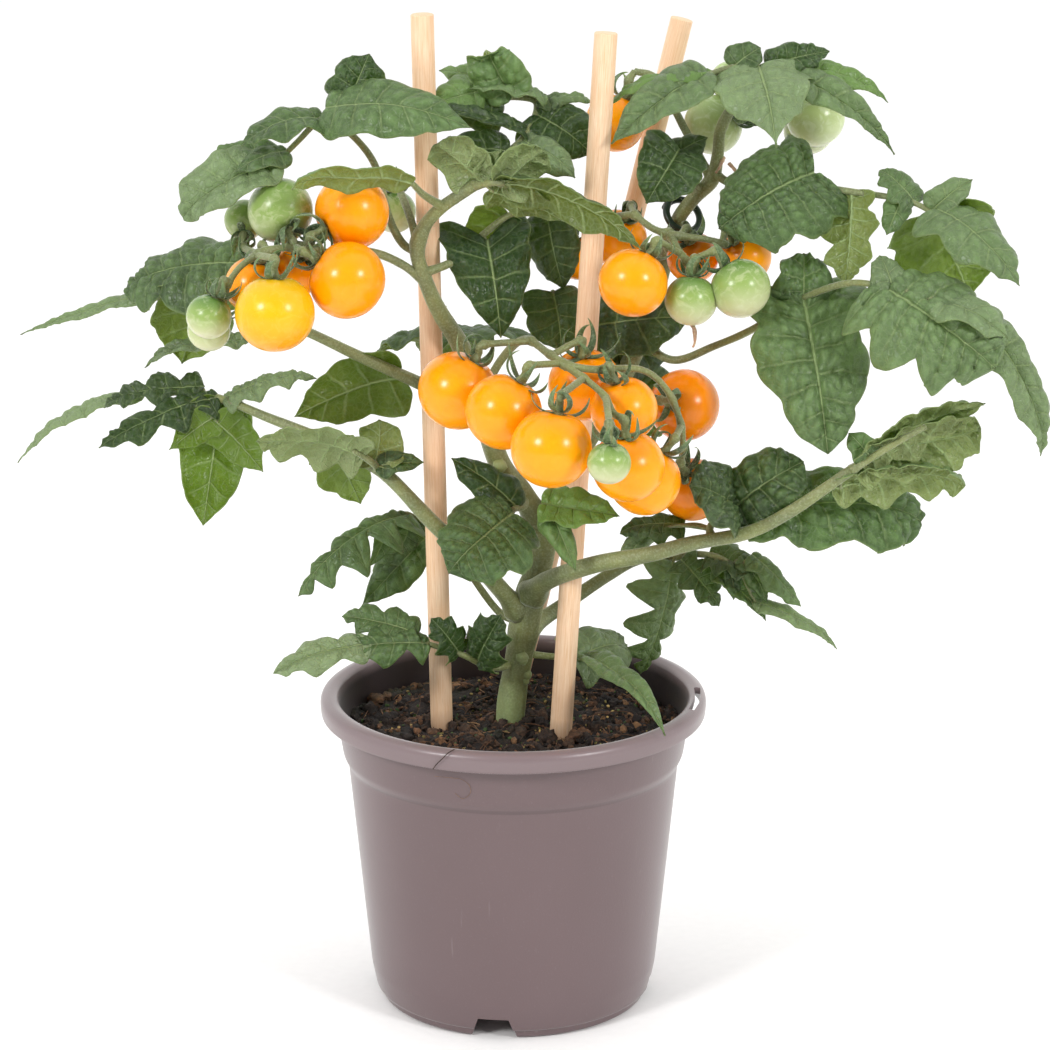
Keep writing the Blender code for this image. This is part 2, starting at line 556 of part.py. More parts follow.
def makeCalyx(name, root, axis, length):
    """A star of five narrow sepals that rise away from the fruit's shoulder."""
    bm = bmesh.new()
    bmesh.ops.create_cone(bm, cap_ends=True, cap_tris=True, segments=10, radius1=1, radius2=0,
                          depth=2 * calyxDepth * mm)
    bmesh.ops.remove_doubles(bm, verts=bm.verts, dist=1e-6)
    for vertex in bm.verts:
        angle = math.degrees(math.atan2(vertex.co.y, vertex.co.x))
        if vertex.co.xy.length > 0.5:
            tip = round(angle / 36) % 2 == 0
            reach = (length if tip else 1.9) * mm
            height = (0.5 * length if tip else 0.3) * mm
            vertex.co = Vector((reach * vertex.co.x, reach * vertex.co.y, height))
    turn = axis.to_track_quat("Z", "X").to_matrix().to_4x4()
    bmesh.ops.transform(bm, matrix=Matrix.Translation(root * mm) @ turn, verts=bm.verts)
    bmesh.ops.recalc_face_normals(bm, faces=bm.faces)
    return fromBmesh(name, bm)


def fruitOn(carrier):
    return [entry[:3] for group in fruit.values() for entry in group if entry[4] == carrier]


def makeStems():
    pieces = [tube(name, points, start, end, sides=1) for name, (points, start, end) in stems.items()]
    for carrier in ("twig_left", "twig_right"):
        pieces += stalkPieces(fruitOn(carrier), [stemLine(carrier)])
    fuse("stems", pieces, "stem")


def seatCutter(name):
    """The stem with the gap around it, which a leaf or truss foot is cut clear of."""
    start, end = stems[name][1:]
    line = stemLine(name)
    line[0] -= (line[1] - line[0]).normalized() * gap
    return asCutter(tube(name + "_seat", line, start + 1.2 * gap, end + 1.2 * gap, sides=1))


def makeLeaves():
    for name, (stem, route, blades) in leaves.items():
        root = nearest(stemLine(stem), Vector(route[0]))
        line = [root, *(Vector(place) for place in route)]
        pieces = [tube("rachis", line, rachisRadius, rachisTip, sides=0)]
        for index, (base, tip, width, facing, shape) in enumerate(blades):
            join = nearest(line, Vector(base))
            if (join - Vector(base)).length < 2.5:
                base = join
            else:
                end = Vector(base).lerp(Vector(tip), 0.04)
                pieces.append(tube(f"petiolule_{index}", [join, end], 0.9, 0.8, sides=0))
            pieces.append(blade(f"blade_{index}", base, tip, width, facing, shape))
        fuse(name, pieces, "leaf", seats[stem])


def makeTrusses():
    for name, (stem, routes) in trusses.items():
        lines = [[Vector(place) for place in route] for route in routes]
        lines[0].insert(0, nearest(stemLine(stem), lines[0][0]))
        pieces = [tube(f"stalk_line_{index}", line, rachisRadius, stalkRadius, sides=0)
                  for index, line in enumerate(lines)]
        pieces += stalkPieces(fruitOn(name), lines)
        fuse(name, pieces, "stem", seats[stem])


def fruitBody(name, middle, radius, axis):
    """A round fruit with a flattened shoulder where its stalk sits."""
    bm = bmesh.new()
    bmesh.ops.create_uvsphere(bm, u_segments=8, v_segments=5, radius=1)
    for vertex in bm.verts:
        if vertex.co.z > 0.99:
            vertex.co.z = poleHeight
    turn = Vector(axis).to_track_quat("Z", "X").to_matrix().to_4x4()
    place = Matrix.Translation(Vector(middle) * mm) @ turn @ Matrix.Scale(radius * mm, 4)
    bmesh.ops.transform(bm, matrix=place, verts=bm.verts)
    return fromBmesh(name, bm)


def makeFruit():
    for name, group in fruit.items():
        bodies = [fruitBody(f"{name}_{index}", *entry[:3]) for index, entry in enumerate(group)]
        fuse(name, bodies, group[0][3])


clearScene()
plant, cutters = makeCollections()
made = makeMaterials()
seats = {name: seatCutter(name) for name in stems}
makePot()
makeSoil()
makeCanes()
makeRing()
makeStems()
makeLeaves()
makeTrusses()
makeFruit()
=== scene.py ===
import math
from functools import partial

import bmesh
import bpy
import numpy as np
from mathutils import Matrix, Vector


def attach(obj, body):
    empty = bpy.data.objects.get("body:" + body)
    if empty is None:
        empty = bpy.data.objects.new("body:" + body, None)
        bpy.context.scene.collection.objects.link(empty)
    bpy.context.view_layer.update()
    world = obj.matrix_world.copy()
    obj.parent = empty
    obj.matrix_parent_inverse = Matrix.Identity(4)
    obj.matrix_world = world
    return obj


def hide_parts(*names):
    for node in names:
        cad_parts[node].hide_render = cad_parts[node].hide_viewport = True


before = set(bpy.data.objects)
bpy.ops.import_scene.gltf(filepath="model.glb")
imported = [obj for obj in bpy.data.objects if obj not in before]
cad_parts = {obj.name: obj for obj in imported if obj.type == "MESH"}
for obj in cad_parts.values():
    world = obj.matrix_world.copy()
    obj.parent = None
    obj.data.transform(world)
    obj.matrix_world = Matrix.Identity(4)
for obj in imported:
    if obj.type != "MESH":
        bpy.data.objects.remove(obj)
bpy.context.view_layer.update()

# Tomato plant in a grower's pot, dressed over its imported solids. Sizes are in millimetres, and
# x runs to the right, y to the back and z up from the middle of the pot's foot.
mm = 0.001
dice = np.random.default_rng(11)


def toLinear(hexCode):
    parts = [int(hexCode[start:start + 2], 16) / 255 for start in (1, 3, 5)]
    return (*(part / 12.92 if part <= 0.04045 else ((part + 0.055) / 1.055) ** 2.4 for part in parts), 1.0)


def setInputs(node, inputs):  # links sockets, sets numbers, and turns hex colours to linear
    for key, value in inputs.items():
        if isinstance(value, bpy.types.NodeSocket):
            node.id_data.links.new(value, node.inputs[key])
        else:
            node.inputs[key].default_value = toLinear(value) if isinstance(value, str) else value


def addNode(tree, kind, inputs=None, out=0, **settings):  # a node with its settings and links
    node = tree.nodes.new("ShaderNode" + kind)
    for key, value in settings.items():
        setattr(node, key, value)
    setInputs(node, inputs or {})
    return node.outputs[out]  # the output that other nodes take


# settings that many nodes share
colourMix = {"data_type": "RGBA", "out": 2}
times = {"operation": "MULTIPLY"}
timesPlus = {"operation": "MULTIPLY_ADD"}
softly = {"interpolation_type": "SMOOTHSTEP"}


def newMaterial(name):  # a material, the function that adds its nodes, its shader and the place on the piece
    made = bpy.data.materials.new(name)
    made.use_nodes = True
    add = partial(addNode, made.node_tree)
    return made, add, made.node_tree.nodes["Principled BSDF"], add("TexCoord", out="Object")


def newShape():
    return {"points": [], "faces": [], "kinds": [], "count": 0, "values": {}}


def addPart(shape, points, faces, kind=0, **values):  # kind picks the material, values become attributes
    points = np.asarray(points, float).reshape(-1, 3)
    for block in faces:
        block = np.asarray(block) + shape["count"]
        shape["faces"].extend(block.tolist())
        shape["kinds"].extend([kind] * len(block))
    for key, value in values.items():
        value = np.array(np.broadcast_to(value, len(points)))
        shape["values"].setdefault(key, []).append((shape["count"], value))
    shape["points"].append(points)
    shape["count"] += len(points)


def makePiece(name, shape, materials, node, sharpAngle=None):  # the piece stands for this solid
    mesh = bpy.data.meshes.new(name)
    mesh.from_pydata((np.concatenate(shape["points"]) * mm).tolist(), [], shape["faces"])
    for key, parts in shape["values"].items():
        attribute = mesh.attributes.new(key, "FLOAT", "POINT")
        whole = np.zeros(shape["count"], np.float32)
        for start, part in parts:
            whole[start:start + len(part)] = part
        attribute.data.foreach_set("value", whole)
    for material in materials:
        mesh.materials.append(material)
    mesh.polygons.foreach_set("material_index", shape["kinds"])
    mesh.polygons.foreach_set("use_smooth", [True] * len(mesh.polygons))
    mesh.update()
    if sharpAngle:
        mesh.set_sharp_from_angle(angle=math.radians(sharpAngle))
    piece = bpy.data.objects.new(name, mesh)
    bpy.context.scene.collection.objects.link(piece)
    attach(piece, "root")
    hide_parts(node)
    return piece


def gridFaces(rows, cols, closed=False):  # quads of a sheet of rows by cols cells
    wide = cols if closed else cols + 1
    row, col = np.meshgrid(np.arange(rows), np.arange(cols), indexing="ij")
    after = (col + 1) % wide
    low, high = row * wide, (row + 1) * wide
    return np.stack([low + col, low + after, high + after, high + col], -1).reshape(-1, 4)


def closedFaces(rings, sides, flip=False):  # quads round a tube, and fans to the two end points after it
    around = np.arange(sides)
    after, last = (around + 1) % sides, (rings - 1) * sides
    low = np.stack([np.full(sides, rings * sides), after, around], -1)
    high = np.stack([np.full(sides, rings * sides + 1), last + around, last + after], -1)
    faces = [gridFaces(rings - 1, sides, closed=True), low, high]
    return [block[:, ::-1] for block in faces] if flip else faces


def smoothLine(points, step):  # Catmull-Rom line through the points
    points = np.array(points, float)
    points = points[np.concatenate([[True], np.linalg.norm(np.diff(points, axis=0), axis=1) > 0.05])]
    ends = np.vstack([2 * points[0] - points[1], points, 2 * points[-1] - points[-2]])
    line = []
    for before, start, end, after in zip(ends, ends[1:], ends[2:], ends[3:]):
        count = max(2, int(np.ceil(np.linalg.norm(end - start) / step)))
        square, cube = 2 * before - 5 * start + 4 * end - after, 3 * start - before - 3 * end + after
        for f in np.arange(count) / count:
            line.append(0.5 * (2 * start + (end - before) * f + square * f ** 2 + cube * f ** 3))
    return np.array(line + [points[-1]])


def roundKnots(fineness):  # points and faces of a ball
    ball = bmesh.new()
    bmesh.ops.create_icosphere(ball, subdivisions=fineness, radius=1)
    knots = np.array([vertex.co[:] for vertex in ball.verts])
    faces = np.array([[vertex.index for vertex in face.verts] for face in ball.faces])
    ball.free()
    return knots, faces


def distances(line, place):
    return np.linalg.norm(line - np.array(place, float), axis=1)


def unit(vector):
    return vector / np.linalg.norm(vector)


def nearest(line, point):  # the place on a line of points that is nearest to a point
    line, point = np.array(line, float), np.array(point, float)
    best = None
    for start, end in zip(line, line[1:]):
        span = end - start
        place = start + span * np.clip(np.dot(point - start, span) / max(np.dot(span, span), 1e-9), 0, 1)
        if best is None or np.linalg.norm(place - point) < np.linalg.norm(best - point):
            best = place
    return best


def sweep(shape, line, radii, sides=10, ridge=0.0, flat=1.0, across=(0.3, 0.2, 0.9), cap=0.5, kind=0,
          **values):  # closed round or flattened stem along the line; its wide direction starts near across
    line = np.array(line, float)
    radii = np.broadcast_to(np.asarray(radii, float), len(line))
    ahead = np.gradient(line, axis=0)
    ahead /= np.linalg.norm(ahead, axis=1)[:, None]
    normal = np.array(across, float)
    normals = []
    for direction in ahead:
        normal = unit(normal - direction * np.dot(normal, direction))
        normals.append(normal)
    normals = np.array(normals)
    others = np.cross(ahead, normals)
    angle = 2 * np.pi * np.arange(sides) / sides
    swell = radii[:, None] * (1 + ridge * np.cos(5 * angle))[None, :]
    ring = normals[:, None] * (np.cos(angle) * swell)[..., None]
    ring = ring + others[:, None] * (flat * np.sin(angle) * swell)[..., None]
    body = (line[:, None] + ring).reshape(-1, 3)
    tips = [line[0] - ahead[0] * radii[0] * cap, line[-1] + ahead[-1] * radii[-1] * cap]
    spread = {}
    for key, value in values.items():
        value = np.broadcast_to(np.asarray(value, float), len(line))
        spread[key] = np.concatenate([np.repeat(value, sides), value[:1], value[-1:]])
    addPart(shape, np.vstack([body, tips]), closedFaces(len(line), sides), kind, **spread)
    return normals, others


def ripple(place, size, waves=6):  # gentle random waves of about this size, mostly between -1 and 1
    total = np.zeros(place.shape[:-1])
    for _ in range(waves):
        way = unit(dice.normal(size=3)) * 2 * np.pi / size * dice.uniform(0.7, 1.4)
        total += np.sin(place @ way + dice.uniform(0, 2 * np.pi))
    return total / waves ** 0.5 / 1.5


def leafTissue(name, upper, upperDeep, lower, vein, tint, passing, glowGreen, down):
    # Living leaf: a waxy, quilted green skin over juicy tissue. It gives a dull satin sheen, pale sunk veins
    # above, an olive felted underside with raised ribs, and a yellow-green glow where light comes through.
    made, add, shader, place = newMaterial(name)
    rib, phase, reach, crest, under, tone, grey, fresh = (
        add("Attribute", attribute_name=key, out="Fac")
        for key in ("ribSide", "veinPhase", "reach", "crest", "underside", "tone", "grey", "fresh"))
    midrib = add("MapRange", {"Value": rib, 1: 0.2, 2: 0.8, 3: 1.0, 4: 0.0}, **softly)
    between = add("Math", {0: phase, 1: 0.5}, operation="PINGPONG")
    lateral = add("MapRange", {"Value": between, 1: 0.018, 2: 0.085, 3: 1.0, 4: 0.0}, **softly)
    fading = add("MapRange", {"Value": reach, 1: 0.45, 2: 1.0, 3: 1.0, 4: 0.2})
    lateral = add("Math", {0: lateral, 1: fading}, **times)
    bent = add("TexNoise", {"Vector": place, "Scale": 240.0, "Detail": 2.0}, out="Color")
    bent = add("VectorMath", {0: bent, "Scale": 0.0014}, operation="SCALE")
    bent = add("VectorMath", {0: place, 1: bent}, operation="ADD")
    cells = add("TexVoronoi", {"Vector": bent, "Scale": 480.0}, feature="DISTANCE_TO_EDGE")  # 2 mm net
    net = add("MapRange", {"Value": cells, 1: 0.0, 2: 0.14, 3: 1.0, 4: 0.0})
    blotch = add("TexNoise", {"Vector": place, "Scale": 55.0, "Detail": 3.0, "Roughness": 0.6})
    blotch = add("MapRange", {"Value": blotch, 1: 0.35, 2: 0.65})
    fuzz = add("TexNoise", {"Vector": place, "Scale": 900.0, "Detail": 2.0})  # 1 mm hairs
    netted = add("MapRange", {"Value": grey, 3: 0.12, 4: 0.35})  # a downy leaf shows more of its net
    strength = add("Math", {0: lateral, 1: 0.4}, **times)
    strength = add("Math", {0: net, 1: netted, 2: strength}, **timesPlus)
    strength = add("Math", {0: midrib, 1: 0.75, 2: strength}, **timesPlus, use_clamp=True)
    strong = add("MapRange", {"Value": under, 3: 0.85, 4: 1.9})  # veins show paler below
    faint = add("MapRange", {"Value": fresh, 3: 1.0, 4: 0.4})  # and fainter where a glow is painted
    strong = add("Math", {0: strong, 1: faint}, **times)
    shown = add("Math", {0: strength, 1: strong}, **times, use_clamp=True)
    # painted light: a yellow-green glow of light shining through and onto thin leaves
    lit = add("Math", {0: fresh, 1: 0.6}, **times)
    dusty = add("Math", {0: grey, 1: 0.62}, **times)
    edge = add("MapRange", {"Value": reach, 1: 0.95, 2: 1.0, 3: 0.0, 4: 0.5})
    bloom = add("MapRange", {"Value": fuzz, 1: 0.5, 2: 0.8, 3: 0.0, 4: 0.07})
    # tone: random from leaf to leaf, plus painted shade on leaves set darker and painted light on leaves set
    # lighter
    mixed = add("Math", {0: blotch, 1: 0.25, 2: tone}, **timesPlus)
    # painted light and shade: blister crests lighter, the grooves between them darker
    mixed = add("Math", {0: crest, 1: 0.68, 2: mixed}, **timesPlus, use_clamp=True)
    above = add("Mix", {0: mixed, 6: upperDeep, 7: upper}, **colourMix)
    below = add("Mix", {0: mixed, 6: lower, 7: tint}, **colourMix)
    skin = above
    for mask, coat in ((under, below), (lit, glowGreen), (dusty, down), (shown, vein), (edge, "#93A56A"),
                       (bloom, "#A9BDA2")):
        skin = add("Mix", {0: mask, 6: skin, 7: coat}, **colourMix)
    rough = add("MapRange", {"Value": blotch, 3: 0.29, 4: 0.41})
    relief = add("Math", {0: strength, 1: -1.0}, **times)
    relief = add("Math", {0: fuzz, 1: 0.25, 2: relief}, **timesPlus)
    turn = add("MapRange", {"Value": under, 3: 1.0, 4: -1.0})  # sunk above, raised below
    relief = add("Math", {0: relief, 1: turn}, **times)
    bump = add("Bump", {"Height": relief, "Strength": 0.9, "Distance": 0.0007})
    setInputs(shader, {"Base Color": skin, "Roughness": rough, "Sheen Weight": 0.06, "Sheen Roughness": 0.4,
                       "Sheen Tint": "#DDE8D6", "IOR": 1.42, "Normal": bump})
    glow = add("BsdfTranslucent", {"Color": passing, "Normal": bump})
    both = add("MixShader", {0: 0.3, 1: shader.outputs[0], 2: glow})
    setInputs(made.node_tree.nodes["Material Output"], {"Surface": both})
    return made


def stemSkin(name, light, dark):
    # Green stem: a ridged skin under a down of short pale hairs, so it looks matt and a little frosted.
    made, add, shader, place = newMaterial(name)
    pale = add("Attribute", attribute_name="pale", out="Fac")
    lines = add("TexNoise", {"Vector": place, "Scale": 1300.0, "Detail": 2.0})
    patch = add("TexNoise", {"Vector": place, "Scale": 90.0, "Detail": 3.0})
    patch = add("MapRange", {"Value": patch, 1: 0.35, 2: 0.68})
    frost = add("MapRange", {"Value": lines, 1: 0.45, 2: 0.75, 3: 0.0, 4: 0.32})
    green = dark
    for mask, coat in ((patch, light), (frost, "#B4C49B"), (pale, "#B0C68A")):
        green = add("Mix", {0: mask, 6: green, 7: coat}, **colourMix)
    bump = add("Bump", {"Height": lines, "Strength": 0.5, "Distance": 0.0004})
    setInputs(shader, {"Base Color": green, "Roughness": 0.52, "Sheen Weight": 0.5, "Sheen Roughness": 0.35,
                       "Sheen Tint": "#E6EEDA", "Subsurface Weight": 0.12, "Normal": bump,
                       "Subsurface Radius": (0.5, 1.0, 0.2), "Subsurface Scale": 0.002})
    return made


def fruitSkin(name, body, shoulder, bottom, glow, spots, radius, mottle):
    # Tomato skin: a thin clear waxy skin over wet flesh. It gives tight soft highlights, a deeper shoulder by
    # the stalk and a lit-from-within edge.
    made, add, shader, place = newMaterial(name)
    rise = add("Attribute", attribute_name="rise", out="Fac")
    cloud = add("TexNoise", {"Vector": place, "Scale": 70.0, "Detail": 2.0})
    uneven = add("Math", {0: cloud, 1: 0.5, 2: rise}, **timesPlus)
    high = add("MapRange", {"Value": uneven, 1: 0.45, 2: 1.25}, **softly)
    low = add("MapRange", {"Value": uneven, 1: -0.6, 2: 0.45, 3: 1.0, 4: 0.0})
    pores = add("TexVoronoi", {"Vector": place, "Scale": 900.0})
    pores = add("MapRange", {"Value": pores, 1: 0.06, 2: 0.2, 3: 0.22, 4: 0.0})
    streaks = add("TexNoise", {"Vector": place, "Scale": 260.0, "Detail": 3.0, "Distortion": 1.2})
    streaks = add("MapRange", {"Value": streaks, 1: 0.5, 2: 0.66, 3: 0.0, 4: mottle})
    skin = body
    for mask, coat in ((high, shoulder), (low, bottom), (pores, spots), (streaks, spots)):
        skin = add("Mix", {0: mask, 6: skin, 7: coat}, **colourMix)
    haze = add("MapRange", {"Value": cloud, 1: 0.3, 2: 0.7, 3: 0.22, 4: 0.32})
    bump = add("Bump", {"Height": cloud, "Strength": 0.15, "Distance": 0.0006})
    setInputs(shader, {"Base Color": skin, "Roughness": haze, "IOR": 1.4, "Specular IOR Level": 0.3,
                       "Coat Weight": 0.34, "Coat Roughness": 0.23, "Subsurface Weight": glow,
                       "Subsurface Radius": radius, "Subsurface Scale": 0.004, "Normal": bump})
    return made


def mouldedPlastic():
    # Recycled polypropylene, injection moulded: a taupe satin wall with faint flow marks and fine scuffs,
    # near black on the inside, where soil has stained it and painted shade lies over it.
    made, add, shader, place = newMaterial("mouldedTaupePolypropylene")
    # inside: soil stain and painted shade, near black
    inner = add("Attribute", attribute_name="inner", out="Fac")
    flow = add("TexNoise", {"Vector": place, "Scale": 14.0, "Detail": 3.0})
    grit = add("TexNoise", {"Vector": place, "Scale": 1500.0, "Detail": 2.0})
    speck = add("MapRange", {"Value": grit, 1: 0.62, 2: 0.8, 3: 0.0, 4: 0.05})
    tilt = add("Mapping", {"Vector": place, "Rotation": (0.4, 1.1, 0.3), "Scale": (9.0, 9.0, 0.5)})
    scuff = add("TexNoise", {"Vector": tilt, "Scale": 45.0, "Detail": 4.0})
    scuff = add("MapRange", {"Value": scuff, 1: 0.69, 2: 0.76, 3: 0.0, 4: 0.12})
    height = add("SeparateXYZ", {0: place}, out="Z")
    lipHighlight = add("MapRange", {"Value": height, 1: 0.1065, 2: 0.1085, 3: 0.0, 4: 0.4})  # painted highlight: the lip lighter than the wall
    crease = add("Math", {0: height, 1: 0.0901, 2: 0.0008}, operation="COMPARE")  # painted shade in the step under the band
    stepShade = add("Math", {0: crease, 1: 0.3}, **times)
    wall = "#604F50"
    for mask, coat in ((flow, "#6D5B5D"), (speck, "#C6BCBE"), (scuff, "#B5A9AB"), (lipHighlight, "#8F8082"),
                       (stepShade, "#3E3234"), (inner, "#2B2324")):
        wall = add("Mix", {0: mask, 6: wall, 7: coat}, **colourMix)
    rough = add("MapRange", {"Value": flow, 3: 0.27, 4: 0.38})
    bump = add("Bump", {"Height": grit, "Strength": 0.2, "Distance": 0.0002})
    setInputs(shader, {"Base Color": wall, "Roughness": rough, "IOR": 1.52, "Sheen Weight": 0.42,
                       "Sheen Roughness": 0.32, "Normal": bump})
    return made


def pottingSoil():
    # Peat and composted bark, damp: dark crumbs that hardly shine, with tan fibres, bark and a green film of
    # algae.
    made, add, shader, place = newMaterial("dampPottingSoil")
    tint = add("Attribute", attribute_name="tint", out="Fac")
    ramp = add("ValToRGB", {"Fac": tint})
    stops = ramp.node.color_ramp.elements
    stops[0].color, stops[1].color = toLinear("#171110"), toLinear("#E0BA74")
    for where, code in ((0.26, "#34261E"), (0.46, "#59402E"), (0.62, "#7E573A"), (0.76, "#A9835A"),
                        (0.84, "#3E5A2C"), (0.9, "#4B6332")):
        stops.new(where).color = toLinear(code)
    crumbs = add("TexNoise", {"Vector": place, "Scale": 520.0, "Detail": 5.0, "Roughness": 0.75})
    shade = add("MapRange", {"Value": crumbs, 1: 0.35, 2: 0.7, 3: 0.4, 4: 1.4})
    film = add("TexNoise", {"Vector": place, "Scale": 45.0, "Detail": 4.0})
    film = add("MapRange", {"Value": film, 1: 0.55, 2: 0.7, 3: 0.0, 4: 0.45})
    soil = add("Mix", {0: film, 6: ramp, 7: "#2E3A20"}, **colourMix)
    soil = add("VectorMath", {0: soil, "Scale": shade}, operation="SCALE")
    dampSoilAndCaneShade = add("MapRange", {"Value": crumbs, 3: 0.95, 4: 0.6})
    bump = add("Bump", {"Height": crumbs, "Strength": 1.0, "Distance": 0.0016})
    setInputs(shader, {"Base Color": soil, "Roughness": dampSoilAndCaneShade, "Normal": bump})
    return made


def sandedWood():
    # Ramin dowel, sanded: pale straight grain with short dark pores, stained brown where it stands in
    # damp soil, and darker lower down by painted shade.
    made, add, shader, _ = newMaterial("sandedRaminWood")
    side, depth, height = (add("Attribute", attribute_name=key, out="Fac")
                           for key in ("grainX", "grainY", "grainZ"))
    grain = add("CombineXYZ", {0: side, 1: depth, 2: height})
    fine = add("Mapping", {"Vector": grain, "Scale": (1.0, 1.0, 0.03)})
    lines = add("TexNoise", {"Vector": fine, "Scale": 2.6, "Detail": 5.0, "Roughness": 0.65})
    pores = add("TexNoise", {"Vector": fine, "Scale": 7.0, "Detail": 2.0})
    broad = add("TexNoise", {"Vector": grain, "Scale": 0.05, "Detail": 2.0})
    ragged = add("Math", {0: broad, 1: 14.0, 2: height}, **timesPlus)
    pale = add("MapRange", {"Value": lines, 1: 0.35, 2: 0.68})
    warm = add("MapRange", {"Value": broad, 1: 0.4, 2: 0.65, 3: 0.0, 4: 0.35})
    dark = add("MapRange", {"Value": pores, 1: 0.62, 2: 0.75, 3: 0.0, 4: 0.35})
    # painted shade: the cane darker towards its foot
    dampSoilAndCaneShade = add("MapRange", {"Value": ragged, 1: 50.0, 2: 120.0, 3: 0.12, 4: 0.0})
    soiled = add("MapRange", {"Value": ragged, 1: 46.0, 2: 54.0, 3: 0.7, 4: 0.0})
    wood = "#E2B98F"
    for mask, coat in ((pale, "#F6DCBE"), (warm, "#E9B68C"), (dark, "#A77C55"), (dampSoilAndCaneShade, "#A5815C"),
                       (soiled, "#6B4A33")):
        wood = add("Mix", {0: mask, 6: wood, 7: coat}, **colourMix)
    bump = add("Bump", {"Height": lines, "Strength": 0.35, "Distance": 0.0003})
    setInputs(shader, {"Base Color": wood, "Roughness": 0.58, "IOR": 1.5, "Normal": bump})
    return made


def softTiePlastic():
    # Dark green polythene tie, extruded: a smooth even skin with a soft shine and faint drawing lines.
    made, add, shader, place = newMaterial("extrudedGreenPolythene")
    drawn = add("TexNoise", {"Vector": place, "Scale": 800.0, "Detail": 2.0})
    skin = add("Mix", {0: drawn, 6: "#15241B", 7: "#22382A"}, **colourMix)
    bump = add("Bump", {"Height": drawn, "Strength": 0.2, "Distance": 0.0002})
    setInputs(shader, {"Base Color": skin, "Roughness": 0.36, "Normal": bump})
    return made


# the eighth colour is the painted glow of thin lit leaves
leafGreen = leafTissue("livingLeafTissue", "#76955C", "#1F3818", "#5C6C20", "#A6BA80", "#86923C", "#A6C42A",
                       "#648A1C", "#A2AE8C")
stemGreen = stemSkin("downyStemSkin", "#808650", "#697048")
sepalGreen = stemSkin("downySepalSkin", "#4E663A", "#2C4022")
dryFlower = stemSkin("witheredFlowerTissue", "#D8A88C", "#8C6A50")
fruitTints = {  # material, body, shoulder, bottom, inner glow, specks, how far light goes, mottling
    "ripe": ("ripeTomatoSkin", "#FFA200", "#FA9400", "#FF9E0A", 0.3, "#FFBC30", (1.0, 0.42, 0.02), 0.1),
    "deep": ("deepRipeTomatoSkin", "#F08A00", "#DC7C00", "#F09210", 0.3, "#FFA838", (1.0, 0.36, 0.02), 0.06),
    "yellow": ("yellowTomatoSkin", "#E6B60C", "#DCAC08", "#F2A010", 0.3, "#FFE070", (1.0, 0.6, 0.04), 0.14),
    "green": ("unripeTomatoSkin", "#8EA65C", "#5A7E38", "#D2D0AA", 0.25, "#C9CFA6", (0.7, 1.0, 0.3), 0.4),
    "pale": ("paleUnripeTomatoSkin", "#B2C284", "#94B068", "#CFD9AE", 0.25, "#DDE6C4", (0.7, 1.0, 0.3), 0.4),
}
fruitSkins = {colour: fruitSkin(*tints) for colour, tints in fruitTints.items()}
print("materials ready")


potPlan = {
    "section": [  # half section: down the outside, under the foot, over the floor and up the inside
        (66.6, 115.0), (69.2, 114.2), (70.0, 112.2), (69.6, 107.6), (68.3, 107.6), (68.3, 112.4),
        (65.0, 112.4), (61.8, 93.0), (61.0, 91.3), (60.0, 89.4), (52.3, 12.0), (50.6, 3.4), (49.2, 3.0),
        (48.6, 0.0), (45.2, 0.0), (45.6, 9.0), (6.0, 9.0), (6.0, 10.6), (50.4, 10.6),
        (58.4, 90.0), (60.0, 92.4), (63.6, 114.0)],
    "corner": 1.1, "steps": 160, "cell": 3.0, "sharpAngle": 32,
    "inside": ((10, 90, 92.4, 114), (50.4, 58.4, 60.0, 63.6)),  # heights and the radius inside the wall there
    "notches": [-98, -8, 82, 172], "drainHoles": [-53, 37, 127, 217], "rimSlots": [-14.5, -7.5, -0.5],
    # blocks cut away: half width at the bottom and the top, depth, lowest, highest, distance from the middle
    "notch": (9.0, 5.5, 20, -2, 8, 50), "slot": (4.3, 4.3, 2.2, 111, 117, 66.8),
    "hole": {"radius": 3.5, "depth": 6, "middle": (34, 0, 9.8)},
}


def roundCorners(section, radius):
    made = []
    count = len(section)
    for index in range(count):
        before, corner, after = (np.array(section[(index + step) % count]) for step in (-1, 0, 1))
        start = corner + unit(before - corner) * min(radius, 0.4 * np.linalg.norm(before - corner))
        end = corner + unit(after - corner) * min(radius, 0.4 * np.linalg.norm(after - corner))
        for f in (0.0, 0.35, 0.65, 1.0):
            made.append((1 - f) ** 2 * start + 2 * f * (1 - f) * corner + f * f * end)
        after = after + unit(corner - after) * min(radius, 0.4 * np.linalg.norm(after - corner))
        cells = int(np.linalg.norm(after - end) / potPlan["cell"])
        made.extend(end + (after - end) * f for f in np.arange(1, cells) / max(cells, 1))
    return np.array(made)


def turned(section, steps):  # ring of the closed section about the upright axis
    angle = 2 * np.pi * np.arange(steps) / steps
    radius, height = section.T
    points = np.stack([np.outer(np.cos(angle), radius), np.outer(np.sin(angle), radius),
                       np.tile(height, (steps, 1))], -1)
    seam = np.arange(len(section))
    after, last = (seam + 1) % len(section), (steps - 1) * len(section)
    closing = np.stack([last + seam, last + after, after, seam], -1)
    return points.reshape(-1, 3), np.vstack([gridFaces(steps - 1, len(section), closed=True), closing])


def wallBlock(lowHalf, highHalf, depth, low, high, radius):  # block that cuts through the wall
    bm = bmesh.new()
    bmesh.ops.create_cube(bm, size=1)
    for vertex in bm.verts:
        x, y, z = vertex.co
        half = lowHalf if z < 0 else highHalf
        vertex.co = Vector((depth * x + radius, 2 * half * y, high if z > 0 else low)) * mm
    return bm


def drainHole():
    hole = potPlan["hole"]
    bm = bmesh.new()
    bmesh.ops.create_cone(bm, cap_ends=True, segments=28, radius1=hole["radius"] * mm,
                          radius2=hole["radius"] * mm, depth=hole["depth"] * mm)
    bmesh.ops.translate(bm, verts=bm.verts, vec=Vector(hole["middle"]) * mm)
    return bm


